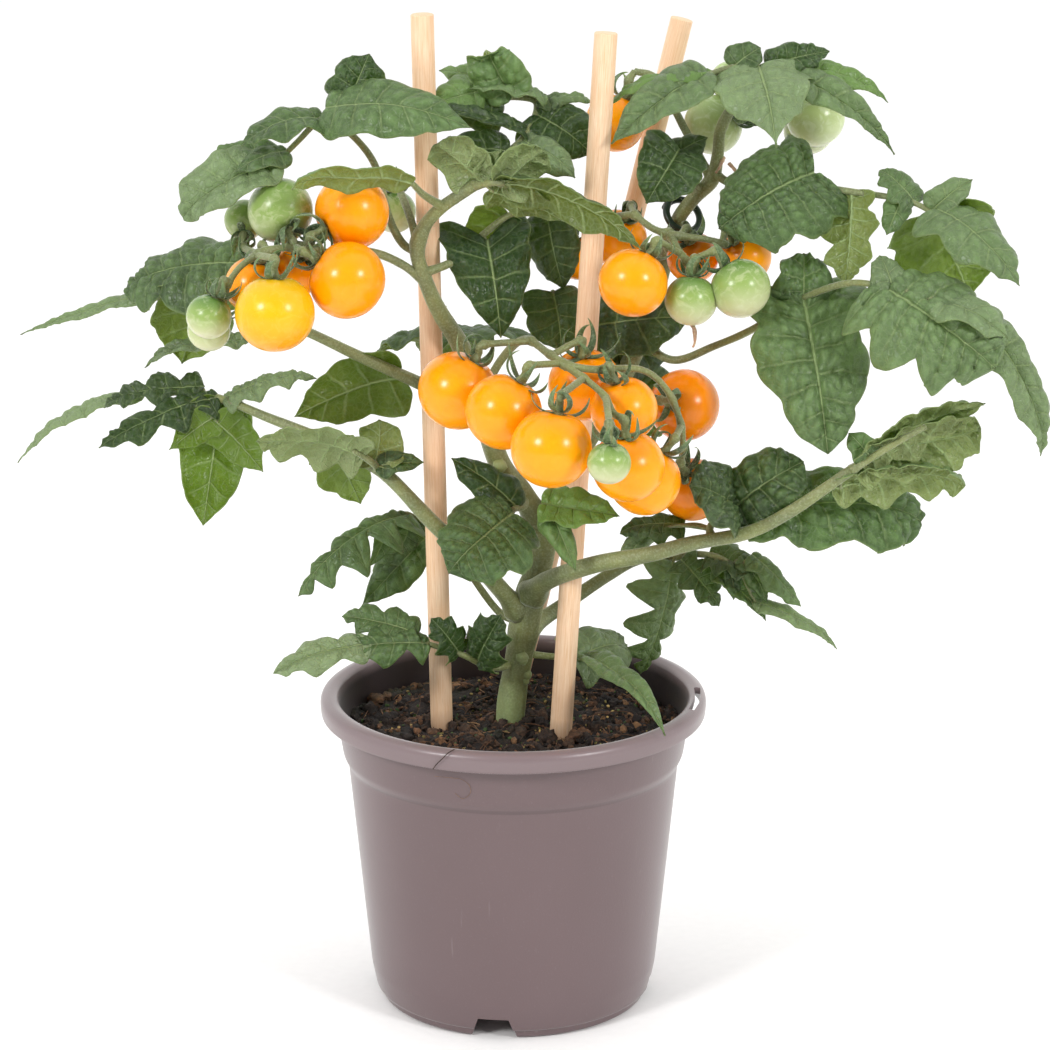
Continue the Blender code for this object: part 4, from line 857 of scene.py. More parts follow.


# a blade's tone paints shade on it when set low and light when set high
leafPlan = {  # stem, stalk points, and blades: base, tip, width, way it faces, form, settings of its own
    "leaf_top_left": ("left_stem", [(-38, -12, 282), (-43, -9, 291), (-48, -5, 309), (-57, -8, 321),
                                    (-65, -12, 326), (-74, -12, 318), (-81, -14, 311)], [
        ((-64, -15, 330), (-13, -31, 325), 24, (1, -8, 6), "broad", {"rise": 0.16, "depth": 0.1,
         "taper": 1.0, "tone": 0.15, "grey": 0.1, "quilt": 0.8, "roll": 0.2}),
        ((-56, -12, 332), (-49, -9, 348), 21, (0, -9, 2), "broad", {"tone": -0.3, "quilt": 1.6}),
        ((-65, -13, 326), (-93, -22, 318), 20, (-2, -4, 9), "broad", {"tone": -0.05, "grey": 0.1}),
        ((-81, -14, 311), (-115, -20, 293), 22, (0, -6, 8), "broad", {"tone": 0.3, "grey": 0.6,
         "depth": 0.12, "taper": 0.6, "fold": 0.3}),
        ((-80, -14, 312), (-104, -6, 313), 12, (0, -5, 8), "small", {"tone": 0.1}),
        ((-77, -12, 314), (-95, -22, 309), 12, (0, -5, 8), "small", {"tone": 0.0})]),
    "leaf_long_left": ("left_stem", [(-30, -27, 302), (-34, -36, 308)], [
        ((-34, -37, 309), (-75, -54, 311), 15, (0, 7, 7), "long", {"depth": 0.05, "fold": 0.1, "taper": 0.7,
         "tone": 0.5, "grey": 0.2, "quilt": 0.6})]),
    "leaf_long_right": ("left_stem", [(-7, -30, 307), (-3, -32, 307)], [
        ((-6, -30, 308), (45, -42, 286), 18, (1, 7, 6), "long", {"taper": 1.1, "tone": -0.35, "rise": 0.13,
         "grey": 0.1, "depth": 0.08, "heart": 0.2}),
        ((-12, -28, 306), (-26, -28, 320), 19, (0, 8, 4), "small", {"tone": 0.4, "grey": 0.7, "quilt": 1.5,
         "taper": 0.6}),
        ((-8, -29, 306), (-4, -28, 318), 12, (0, 8, 4), "small", {"tone": 0.4, "grey": 0.7}),
        ((-4, -30, 305), (11, -30, 318), 18, (0, 8, 4), "small", {"tone": 0.4, "grey": 0.7, "quilt": 1.5,
         "taper": 0.6}),
        ((-8, -28, 304), (18, -22, 292), 15, (0, 8, 5), "long", {"tone": -0.7, "grey": 0.2})]),
    "leaf_centre": ("left_stem", [(-20, -10, 276), (-10, -3, 284), (0, 2, 290), (12, 8, 289)], [
        ((-9, -5, 282), (-4, -16, 249), 34, (1, -9, 3), "broad", {"heart": 0.9, "tone": -0.9, "grey": 0.0,
         "depth": 0.1, "taper": 1.1, "quilt": 1.0}),
        ((-1, 2, 289), (-16, 8, 274), 22, (0, 9, 3), "small", {"tone": 0.4, "fresh": 0.9}),
        ((13, 8, 289), (18, 4, 262), 20, (-2, -9, 2), "long", {"tone": -0.6})]),
    "leaf_centre_low": ("right_stem", [(30, 18, 232), (25, 19, 244), (17, 12, 256), (14, 2, 262)], [
        ((14, 1, 262), (17, -3, 241), 24, (3, -9, 2), "broad", {"tone": -0.8, "taper": 1.1, "depth": 0.1}),
        ((27, 17, 246), (64, 14, 250), 28, (0, -8, 5), "broad", {"tone": -0.9}),
        ((29, 20, 238), (56, 24, 232), 24, (0, -8, 5), "small", {"tone": -0.6}),
        ((30, 22, 234), (72, 30, 206), 20, (0, -9, 2), "long", {"tone": -0.3})]),
    "leaf_top_centre": ("left_stem", [(-17, -13, 300), (-8, -10, 309), (2, -4, 316), (7, 6, 322),
                                      (8, 10, 328), (2, 8, 330), (-4, 6, 330), (-11, 4, 330)], [
        ((0, 4, 331), (-11, 1, 353), 19, (-2, -9, 2), "lobed", {"fold": 0.4, "roll": -2.6, "rollFrom": 0.68,
         "tone": 0.4, "quilt": 1.5, "lobes": 2, "depth": 0.1}),
        ((-2, 12, 333), (-26, 14, 338), 16, (-1, -6, 7), "small", {"tone": 0.5, "grey": 0.2}),
        ((-11, 3, 333), (-29, -6, 329), 16, (0, -8, 4), "small", {"tone": 0.6, "fresh": 0.5, "roll": 0.2}),
        ((11, 8, 330), (-15, -4, 335), 12, (0, -3, 9), "long", {"tone": 0.4, "grey": 0.3, "roll": 0.0,
         "twist": 0.0}),
        ((-4, 4, 324), (-24, 4, 328), 17, (0, -9, 3), "small", {"tone": -0.8}),
        ((9, 2, 315), (-33, -14, 330), 9, (0, -4, 9), "long", {"tone": -0.5, "twist": 0.0}),
        ((9, 10, 328), (29, 14, 327), 10, (0, -3, 9), "small", {"tone": 0.2, "grey": 0.3}),
        ((7, 7, 325), (28, 0, 311), 24, (2, -8, 5), "broad", {"tone": -0.5, "quilt": 1.5}),
        ((4, -3, 316), (22, -14, 306), 16, (1, -7, 6), "small", {"tone": 0.1, "grey": 0.5}),
        ((-3, -5, 314), (-25, -9, 315), 16, (0, -8, 5), "small", {"tone": -1.0})]),
    "leaf_crown": ("right_stem", [(81, 7, 336), (80, 4, 341), (74, 2, 341), (67, 0, 339)], [
        ((68, 0, 339), (34, -16, 317), 21, (-3, -6, 7), "long", {"tone": 0.1, "grey": 0.3, "fold": 0.35,
         "lobes": 2, "taper": 1.1}),
        ((69, 1, 341), (31, -2, 327), 12, (-1, -2, 9), "long", {"tone": 0.7, "fresh": 0.6, "rise": 0.14}),
        ((76, 3, 341), (86, 5, 348), 13, (0, -8, 5), "small", {"tone": -0.2}),
        ((85, 2, 342), (90, -26, 318), 35, (0, -7, 7), "broad", {"tone": 0.4, "grey": 0.6, "taper": 1.7,
         "depth": 0.1, "quilt": 0.8, "heart": 0.3}),
        ((92, 3, 339), (134, -6, 313), 16, (1, -5, 8), "long", {"tone": 0.1, "grey": 0.3, "fold": 0.4,
         "taper": 1.3, "lobes": 2}),
        ((88, 5, 341), (110, 8, 346), 13, (0, -8, 5), "cut", {"tone": -0.2, "depth": 0.4}),
        ((98, 6, 341), (132, 12, 328), 14, (0, -4, 9), "long", {"tone": 0.7, "fresh": 0.6, "taper": 1.2})]),
    "leaf_right_inner": ("right_stem", [(59, 7, 302), (54, 2, 311)], [
        ((58, 1, 313), (46, -12, 296), 25, (0, -9, 3), "broad", {"tone": -0.3, "fold": 0.3, "taper": 1.1,
         "depth": 0.1}),
        ((55, 3, 310), (68, 3, 317), 12, (0, -8, 5), "small", {"tone": -0.5})]),
    "leaf_right_top": ("right_stem", [(78, 5, 300), (98, -6, 302), (116, -14, 301), (135, -20, 299),
                                      (145, -24, 295)], [
        ((104, -12, 307), (71, -24, 289), 40, (-2, -8, 5), "lobed", {"depth": 0.2, "lobes": 4, "tone": 0.0,
         "grey": 0.05, "heart": 0.7, "quilt": 2.0}),
        ((117, -14, 300), (114, -26, 271), 22, (4, 9, 2), "cut", {"depth": 0.42, "tone": 0.4, "grey": 0.3}),
        ((145, -21, 294), (160, -8, 262), 40, (0, 9, 2), "broad", {"tone": 0.6, "fresh": 0.9,
         "depth": 0.12}),
        ((145, -26, 297), (172, -48, 275), 27, (3, -6, 7), "broad", {"tone": 0.15, "grey": 0.3,
         "taper": 1.1, "depth": 0.2}),
        ((144, -23, 297), (158, -18, 306), 12, (1, -7, 6), "small", {"tone": 0.2, "grey": 0.4}),
        ((138, -22, 299), (126, -14, 309), 14, (0, -5, 8), "cut", {"depth": 0.4, "tone": 0.0}),
        ((133, -20, 298), (128, -26, 288), 10, (0, -9, 3), "small")]),
    "leaf_right_middle": ("right_stem", [(57, 8, 236), (71, 0, 243), (84, -8, 251), (99, -20, 264),
                                         (115, -34, 273), (129, -44, 273), (144, -50, 270),
                                         (159, -54, 264)], [
        ((99, -23, 265), (108, -50, 216), 45, (0, -9, 3), "lobed", {"depth": 0.26, "taper": 0.8,
         "heart": 0.8, "tone": 0.15, "grey": 0.15, "quilt": 1.8, "lobes": 3}),
        ((100, -22, 265), (101, -12, 279), 21, (0, -6, 8), "small", {"tone": 0.1, "quilt": 1.6}),
        ((123, -41, 273), (162, -66, 250), 41, (1, -8, 6), "lobed", {"depth": 0.36, "taper": 0.62,
         "tone": 0.2, "grey": 0.25, "quilt": 1.8, "lobes": 4, "roll": 0.2}),
        ((143, -52, 271), (166, -64, 260), 18, (3, -6, 7), "small", {"tone": 0.4, "grey": 0.5}),
        ((158, -54, 266), (183, -50, 215), 20, (6, -7, 3), "long", {"tone": 0.2, "grey": 0.5, "fold": 0.35,
         "taper": 1.1}),
        ((129, -44, 273), (125, -34, 283), 13, (0, -6, 8), "small", {"tone": 0.2, "grey": 0.4})]),
    "leaf_low_right": ("low_right", [(129, -48, 219), (141, -48, 226)], [
        ((119, -47, 214), (162, -44, 234), 17, (0, 8, 4), "long", {"tone": 0.65, "grey": 0.6, "fold": -0.3,
         "taper": 0.9, "depth": 0.4, "roll": 0.2, "quilt": 1.6, "lobes": 4}),
        ((118, -46, 211), (162, -42, 222), 21, (0, 9, 3), "lobed", {"tone": 0.7, "grey": 0.6, "depth": 0.3,
         "taper": 0.4, "fold": -0.25, "lobes": 4, "roll": -0.3, "twist": 0.2, "quilt": 1.7}),
        ((110, -45, 203), (157, -43, 205), 18, (0, 8, 4), "lobed", {"tone": 0.5, "grey": 0.5, "depth": 0.4,
         "fold": -0.25, "taper": 0.5, "twist": -0.15, "quilt": 1.7, "lobes": 4}),
        ((122, -48, 216), (115, -44, 223), 10, (0, -9, 3), "small")]),
    "leaf_low_right_side": ("low_right", [(69, -34, 187), (77, -34, 193)], [
        ((77, -35, 193), (61, -46, 205), 25, (0, -7, 7), "lobed", {"depth": 0.12, "tone": -0.3,
         "quilt": 1.9}),
        ((78, -34, 194), (101, -34, 210), 26, (0, -7, 6), "lobed", {"depth": 0.12, "tone": -0.2,
         "quilt": 1.9}),
        ((60, -26, 185), (37, -22, 181), 14, (0, -5, 8), "cut", {"tone": -0.2, "depth": 0.4}),
        ((47, -24, 182), (37, -23, 168), 9, (1, -8, 3), "long", {"tone": 0.2, "grey": 0.6}),
        ((79, -32, 192), (147, -20, 186), 31, (0, -7, 7), "lobed", {"depth": 0.14, "taper": 0.45,
         "lobes": 4, "tone": 0.0, "grey": 0.0, "quilt": 1.6})]),
    "leaf_low_right_back": ("back_right", [(66, 22, 160), (75, 13, 161), (83, 6, 157)], [
        ((70, 16, 163), (88, 6, 157), 15, (1, -7, 6), "cut", {"depth": 0.4, "tone": -0.2}),
        ((82, 9, 163), (92, 5, 146), 8, (4, -8, 3), "long", {"tone": 0.1, "depth": 0.4}),
        ((78, 11, 160), (80, 7, 147), 7, (3, -8, 3), "long", {"tone": -0.2}),
        ((86, 8, 164), (103, 1, 146), 11, (5, -7, 4), "long", {"tone": 0.2, "depth": 0.3, "taper": 0.8,
         "grey": 0.2}),
        ((61, 18, 159), (75, 12, 143), 15, (2, -8, 4), "cut", {"depth": 0.5, "tone": -0.2}),
        ((72, 12, 156), (92, 5, 140), 9, (3, -6, 6), "long", {"tone": 0.1}),
        ((86, 6, 147), (117, -4, 132), 10, (3, -4, 9), "long", {"depth": 0.3, "tone": 0.4, "grey": 0.6,
         "taper": 0.9}),
        ((58, 22, 157), (47, 24, 112), 21, (3, -9, 2), "cut", {"depth": 0.75, "lobes": 5, "tone": 0.1,
         "grey": 0.4, "sides": (0.7, 1.2)})]),
    "leaf_soil_right": ("trunk", [(12, 6, 126), (23, 4, 126)], [
        ((24, 2, 126), (54, -52, 115), 12, (2, -6, 8), "long", {"tone": 0.3, "grey": 0.2, "fold": 0.35,
         "rise": 0.14}),
        ((22, 6, 126), (44, 28, 122), 24, (0, -7, 7), "broad", {"tone": 0.1, "grey": 0.5}),
        ((24, 8, 125), (28, 30, 113), 16, (0, -8, 5), "lobed", {"tone": 0.1, "grey": 0.7})]),
    "leaf_low_left_bottom": ("trunk", [(-8, -4, 125), (-18, -11, 132), (-30, -14, 137)], [
        ((-30, -14, 139), (-60, -22, 138), 16, (0, -7, 7), "cut", {"lobes": 3, "depth": 0.6, "tone": 0.0,
         "taper": 0.5}),
        ((-50, -19, 139), (-85, -32, 132), 15, (0, -6, 8), "cut", {"lobes": 3, "depth": 0.5, "tone": 0.5,
         "grey": 0.9, "taper": 0.7}),
        ((-34, -12, 140), (-62, -10, 147), 15, (0, -7, 7), "cut", {"tone": 0.0, "lobes": 4, "depth": 0.7}),
        ((-19, -12, 133), (-29, -18, 148), 15, (0, -8, 6), "cut", {"depth": 0.4, "tone": -0.4}),
        ((-12, -8, 129), (-4, -20, 150), 18, (0, -8, 6), "cut", {"depth": 0.4, "tone": -0.4,
         "quilt": 1.8})]),
    "leaf_low_left_cut": ("trunk", [(-5, 11, 141), (-18, 14, 158), (-29, 15, 172), (-38, 12, 178)], [
        ((-37, 14, 179), (-79, -7, 151), 19, (-3, -7, 6), "cut", {"lobes": 5, "depth": 0.8, "tone": 0.0,
         "rise": 0.2, "sides": (1.35, 0.55)}),
        ((-37, 13, 176), (-46, 8, 156), 13, (3, -9, 0), "cut", {"tone": 0.0}),
        ((-44, 11, 178), (-52, 4, 160), 8, (3, -9, 0), "long", {"tone": 0.0}),
        ((-29, 15, 171), (-55, 6, 145), 20, (0, -9, 4), "broad", {"tone": -0.1, "taper": 1.1})]),
    "leaf_heart": ("left_stem", [(4, -6, 186), (0, -14, 187), (-2, -18, 185)], [
        ((0, -19, 187), (-23, -36, 170), 33, (-1, -8, 5), "lobed", {"depth": 0.2, "lobes": 4, "taper": 0.8,
         "tone": 0.0, "grey": 0.0, "quilt": 1.5}),
        ((1, -11, 187), (-22, -4, 203), 16, (0, -7, 7), "small", {"tone": -0.7})]),
    "leaf_low_left": ("low_left", [(-49, -18, 205), (-55, -21, 210)], [
        ((-52, -20, 208), (-89, -34, 217), 25, (0, 8, 6), "cut", {"depth": 0.35, "tone": 0.5, "grey": 0.8}),
        ((-47, -17, 204), (-47, -10, 219), 20, (3, 9, 2), "small", {"tone": 0.3, "grey": 0.3}),
        ((-64, -12, 209), (-54, -8, 187), 20, (0, 9, 1), "broad", {"tone": 0.5, "fresh": 0.8}),
        ((-46, -17, 203), (-31, -16, 205), 9, (0, -8, 5), "small")]),
    "leaf_left_far": ("low_left", [(-108, 26, 218), (-121, 34, 219), (-132, 42, 217)], [
        ((-106, 24, 216), (-112, 10, 174), 27, (0, 9, 1), "broad", {"lobes": 2, "depth": 0.2, "taper": 0.95,
         "tone": -0.3, "grey": 0.0, "fresh": 0.9, "twist": 0.0, "roll": 0.1, "quilt": 0.4}),
        ((-108, 21, 212), (-124, 15, 201), 13, (0, 9, 1), "broad", {"depth": 0.1, "tone": -0.3, "grey": 0.0,
         "fresh": 0.9, "twist": 0.0, "quilt": 0.4, "taper": 1.2}),
        ((-108, 21, 211), (-90, 14, 193), 17, (0, 9, 1), "broad", {"depth": 0.1, "tone": -0.3, "grey": 0.0,
         "fresh": 0.9, "twist": 0.0, "quilt": 0.4, "taper": 1.1}),
        ((-106, 25, 220), (-151, 20, 201), 16, (0, -6, 8), "cut", {"tone": -0.7, "quilt": 1.7}),
        ((-132, 42, 217), (-185, 62, 183), 12, (0, -3, 9), "long", {"tone": 0.6, "grey": 0.8,
         "taper": 1.1}),
        ((-112, 29, 221), (-150, 38, 211), 15, (0, -5, 8), "cut", {"tone": -0.7, "quilt": 1.7}),
        ((-104, 24, 219), (-70, 14, 230), 13, (0, -4, 9), "cut", {"depth": 0.4, "tone": 0.2,
         "grey": 0.6})]),
    "leaf_left_upper": ("mid_left", [(-93, 18, 256), (-98, 22, 264), (-109, 26, 259), (-122, 34, 254),
                                     (-132, 40, 251)], [
        ((-98, 22, 268), (-142, 42, 254), 33, (0, -6, 8), "lobed", {"depth": 0.3, "lobes": 4, "tone": -0.1,
         "quilt": 1.2}),
        ((-131, 39, 252), (-182, 62, 232), 8, (0, -5, 8), "long", {"tone": 0.4, "grey": 0.6, "taper": 1.2}),
        ((-111, 28, 257), (-121, 42, 226), 30, (0, 9, 2), "broad", {"tone": 0.4, "fresh": 0.6}),
        ((-95, 19, 240), (-134, 22, 231), 12, (0, -3, 9), "long", {"tone": 0.0, "grey": 0.5})]),
    "leaf_left_inner": ("mid_left", [(-40, 11, 229)], [
        ((-40, 11, 230), (-78, 4, 216), 27, (0, 9, 2), "broad", {"tone": -0.3, "fresh": 0.4, "depth": 0.1,
         "taper": 1.1})]),
    "leaf_under_truss": ("right_stem", [(14, -6, 188), (12, -21, 190)], [
        ((10, -24, 192), (37, -36, 191), 17, (0, -6, 7), "broad", {"tone": 0.6, "grey": 0.0, "fresh": 1.0,
         "rise": 0.02, "roll": 0.2}),
        ((13, -20, 189), (22, -37, 171), 11, (1, -9, 2), "small", {"tone": 0.3, "fresh": 0.3})]),
    "leaf_back_left": ("left_stem", [(-14, 22, 232), (-20, 46, 236), (-24, 64, 234)], [
        ((-24, 64, 234), (-20, 99, 212), 34, (0, 3, 9), "broad"),
        ((-19, 46, 236), (-52, 62, 226), 26, (-2, 2, 9), "broad"),
        ((-20, 50, 236), (10, 68, 228), 26, (2, 2, 9), "broad")]),
    "leaf_back_right": ("right_stem", [(30, 28, 202), (40, 48, 208), (46, 66, 206)], [
        ((46, 66, 206), (50, 99, 184), 34, (0, 3, 9), "broad"),
        ((39, 47, 208), (12, 64, 198), 26, (-2, 2, 9), "broad"),
        ((41, 50, 208), (72, 62, 198), 26, (2, 2, 9), "broad")]),
}
leafStalk = {"start": 1.5, "end": 0.95, "sides": 12, "step": 1.5, "hairs": (1.1, 25, 0.9)}
leafletStalk = {"start": 0.75, "end": 0.5, "sides": 8, "step": 1.0, "arch": 0.06, "joinWithin": 2.5}


def buildLeaves():
    triangles = 0
    for name, (stem, route, blades) in leafPlan.items():
        shape = newShape()
        root = nearest(stemPlan[stem][0], route[0])
        line = growStem(shape, [root, *route], leafStalk["start"], leafStalk["end"], leafStalk["sides"],
                        kind=1, step=leafStalk["step"])
        addHairs(shape, line, *leafStalk["hairs"], kind=1)
        for base, tip, width, facing, form, *own in blades:
            join = nearest(line, base)
            base, tip = np.array(base, float), np.array(tip, float)
            apart = np.linalg.norm(join - base)
            if apart < leafletStalk["joinWithin"]:
                base = join
            else:
                middle = (join + base) / 2 + (0, 0, leafletStalk["arch"] * apart)
                growStem(shape, [join, middle, base + (tip - base) * 0.06], leafletStalk["start"],
                         leafletStalk["end"], leafletStalk["sides"], kind=1, step=leafletStalk["step"])
            addBlade(shape, base, tip, width, facing, form, *own)
        triangles += 2 * len(shape["faces"])
        makePiece(name + "_blades", shape, [leafGreen, stemGreen], name)
    print("leaves built:", len(leafPlan), "with about", triangles, "triangles")


trussPlan = {  # stem and stalks, each starting on that stem or on a stalk before it
    "truss_left": ("left_stem", [
        [(-29, -14, 267), (-37, -16, 275), (-49, -20, 281), (-62, -27, 282), (-72, -30, 285),
         (-84, -34, 284), (-92, -38, 280), (-97, -42, 274)]]),
    "truss_middle": ("left_stem", [
        [(-12, -3, 224), (-4, -8, 240), (4, -20, 250), (12, -36, 249), (18, -46, 247), (30, -60, 241),
         (34, -70, 236)],
        [(18, -46, 247), (28, -48, 246), (44, -40, 244), (53, -36, 236), (58, -36, 224), (59, -35, 214)]]),
    "truss_right": ("right_stem", [
        [(56, 8, 274), (53, 0, 281), (55, -12, 285), (66, -17, 285), (74, -18, 283)],
        [(55, -12, 285), (57, -22, 282), (60, -28, 279)],
        [(54, -10, 285), (48, -13, 288), (42, -9, 292)]]),
    "truss_top": ("right_stem", [
        [(73, 10, 319), (78, 16, 328), (84, 24, 335), (92, 26, 334), (99, 25, 332)]]),
}
# middle, radius, way its stalk points, colour, truss or stem; fruit in one list has grown together
fruitPlan = {
    "fruit_left_green": [((-80, -18, 295), 11.4, (3, -8, -5), "green", "truss_left"),
                         ((-93, -9, 290), 7.2, (0, -8, -6), "green", "truss_left")],
    "fruit_left_upper": [((-55, -25, 296), 13.0, (-8, -5, -4), "ripe", "truss_left")],
    "fruit_left_middle": [((-56, -43, 276), 13.2, (-8, 1, 5), "ripe", "truss_left")],
    "fruit_left_yellow": [((-80, -54, 267), 13.5, (0, 1, 10), "yellow", "truss_left")],
    "fruit_left_back": [((-89, -24, 270), 10.3, (2, -2, 9), "ripe", "truss_left"),
                        ((-74, -17, 274), 8.9, (3, -6, 7), "ripe", "truss_left")],
    "fruit_left_small": [((-103, -46, 264), 7.8, (4, 1, 9), "green", "truss_left"),
                         ((-104, -36, 257), 7.4, (4, 3, 8), "green", "truss_left")],
    "fruit_left_inner": [((-42, 16, 288), 7.8, (0, 1, 9), "green", "twig_left")],
    "fruit_middle_1": [((-19, -33, 235), 13.8, (5, 0, 9), "ripe", "truss_middle")],
    "fruit_middle_2": [((-3, -55, 233), 13.2, (5, 1, 9), "ripe", "truss_middle")],
    "fruit_middle_3": [((13, -77, 226), 13.7, (2, 1, 10), "ripe", "truss_middle", (24, -53, 244))],
    "fruit_middle_4": [((25, -28.5, 236), 12.8, (-1, -3, 10), "ripe", "truss_middle")],
    "fruit_middle_5": [((38, -48, 232), 11.6, (-3, -1, 9), "ripe", "truss_middle")],
    "fruit_middle_low": [((39, -70, 218), 12.4, (-1, -2, 10), "ripe", "truss_middle"),
                         ((45, -50, 208), 12.7, (6, 1, 8), "ripe", "truss_middle")],
    "fruit_middle_last": [((63, -20, 196), 11.2, (-3, -6, 8), "deep", "truss_middle")],
    "fruit_middle_side": [((60, -14, 225), 12.6, (-5, -8, 3), "deep", "truss_middle")],
    "fruit_middle_green": [((32, -92, 225), 7.3, (0, 2, 10), "green", "truss_middle", (31, -63, 240))],
    "fruit_right_front": [((41, -38, 274), 11.9, (5, 4, 8), "ripe", "truss_right")],
    "fruit_right_back": [((37, 8, 280), 10.4, (3, -5, 9), "ripe", "truss_right"),
                         ((23, 12, 272), 7.8, (-2, 1, 9), "ripe", "truss_right")],
    "fruit_right_side": [((81, -5, 276), 9.4, (-5, -4, 8), "ripe", "truss_right")],
    "fruit_right_inner": [((63, -1, 275), 9.1, (-2, -6, 9), "deep", "truss_right")],
    "fruit_right_green": [((61, -34, 267), 9.0, (1, 2, 10), "green", "truss_right"),
                          ((78, -33, 271), 10.4, (-6, 3, 8), "green", "truss_right")],
    "fruit_top_green": [((71, 28, 317), 10.6, (8, -5, 4), "pale", "truss_top"),
                        ((77, 31, 332), 7.2, (6, -3, 6), "pale", "truss_top")],
    "fruit_top_right": [((107, 24, 320), 10.4, (-6, 1, 8), "pale", "truss_top"),
                        ((105, 29, 315), 9.0, (-4, 1, 9), "pale", "truss_top")],
    "fruit_top_back": [((36, 26, 318), 10.6, (3, 1, 9), "ripe", "twig_right")],
}
dryBits = {  # withered flower on its stub, and the dry style under a green fruit
    "truss_right": [[(61, -34, 259), (62.2, -35, 257), (62.4, -36, 253), (61.8, -36, 251)]],
    "truss_top": [[(74, 12, 308), (72.6, 7, 306), (71.0, 5, 304)],
                  [(76, 11, 306), (77.8, 7, 304.5), (79, 5, 302)]],
}
# hairs in these three: how far from the middle, how many and how long
calyxLook = {"width": 1.25, "flat": 0.22, "opening": (-25, 10), "curl": (70, 215), "hairs": (1.0, 10, 0.8)}
stalkLook = {"radius": 1.2, "knuckle": 0.6, "knuckleAt": 6, "knuckleLength": 1.3, "pole": 0.86,
             "rootLift": 0.6, "base": 0.7, "baseLength": 1.2, "hairs": (1.2, 40, 0.9)}
trussLook = {"first": 1.6, "next": 1.3, "last": 1.05, "step": 1.5, "joint": 0.35, "jointLength": 2,
             "uneven": 0.04, "hairs": (1.2, 90, 0.9)}


def addCalyx(shape, root, axis, length):  # five or six ribbon sepals that arch out, up and back in
    across = unit(np.cross(axis, dice.normal(size=3)))
    around = np.cross(axis, across)
    count = int(dice.integers(5, 7))
    f = np.linspace(0, 1, 16)
    for index in range(count):
        angle = 2 * np.pi * (index + dice.uniform(-0.2, 0.2)) / count
        way = math.cos(angle) * across + math.sin(angle) * around
        sideways = np.cross(axis, way)
        curl = math.radians(dice.uniform(*calyxLook["curl"]))
        heading = math.radians(dice.uniform(*calyxLook["opening"])) + curl * f ** 1.2
        reach = length * dice.uniform(0.85, 1.2)
        steps = reach / len(f) * np.stack([np.cos(heading), np.sin(heading)])
        out, rise = np.cumsum(steps, axis=1)
        sway = dice.uniform(-0.35, 0.35) * reach * f ** 2
        line = root + out[:, None] * way + rise[:, None] * axis + sway[:, None] * sideways
        width = calyxLook["width"] * (1 - f ** 2.2) ** 0.8 * (0.75 + 0.4 * np.sin(np.pi * f ** 0.7)) + 0.08
        sweep(shape, line, width, sides=8, flat=calyxLook["flat"], across=sideways, kind=1,
              pale=0.25 * f ** 3)
        addHairs(shape, line[:13], *calyxLook["hairs"])


def addFruitStalks(shape, carrier, lines):
    ends = []
    carried = [fruit for group in fruitPlan.values() for fruit in group if fruit[4] == carrier]
    for middle, radius, axis, _, _, *joined in carried:
        axis = unit(np.array(axis, float))
        root = np.array(middle, float) + axis * (stalkLook["pole"] * radius + stalkLook["rootLift"])
        bend = root + axis * stalkLook["knuckleAt"]
        aim = joined[0] if joined else bend
        join = min((nearest(line, aim) for line in lines), key=lambda place: np.linalg.norm(place - aim))
        line = smoothLine([root - axis * 0.8, root + axis * 3, bend, join], 1.0)
        fromBend = distances(line, bend) / stalkLook["knuckleLength"]
        fromRoot = distances(line, root) / stalkLook["baseLength"]
        radii = stalkLook["radius"] * (1 + stalkLook["knuckle"] * np.exp(-fromBend ** 2))
        radii = radii * (1 + stalkLook["base"] * np.exp(-fromRoot ** 2))
        sweep(shape, line, radii, sides=10, ridge=0.04)
        addCalyx(shape, root, axis, max(7.5, 0.75 * radius + 4.5))
        addHairs(shape, line, *stalkLook["hairs"])
        ends.append(join)
    return ends


def addNub(shape, stem, place, radius):
    root = nearest(stemPlan[stem][0], place)
    way = unit(unit(np.array(place, float) - root) + dice.normal(size=3) * 0.18)
    line = [root + way * far for far in (0, 3, 4.6, 5.4, 5.9)]
    sweep(shape, line, radius * np.array((1.0, 0.9, 0.95, 0.8, 0.45)), sides=14, ridge=0.09, cap=0.3,
          pale=(0.05, 0.2, 0.4, 0.5, 0.55))


def buildStems():
    shape = newShape()
    for name, (points, start, end) in stemPlan.items():
        look = stemLook["trunk" if name == "trunk" else "branch"]
        joints = () if name == "twig_left" else stemJoints
        line = growStem(shape, points, start, end, look["sides"], joints, paleFoot=look["paleFoot"])
        addHairs(shape, line, (start + end) / 2, look["hairs"] * len(line), stemLook["hairLength"])
    for stem, place, radius in nubs:
        addNub(shape, stem, place, radius)
    for carrier in ("twig_left", "twig_right"):
        addFruitStalks(shape, carrier, [stemPlan[carrier][0]])
    makePiece("stems_growth", shape, [stemGreen, sepalGreen], "stems")
    print("stems built")


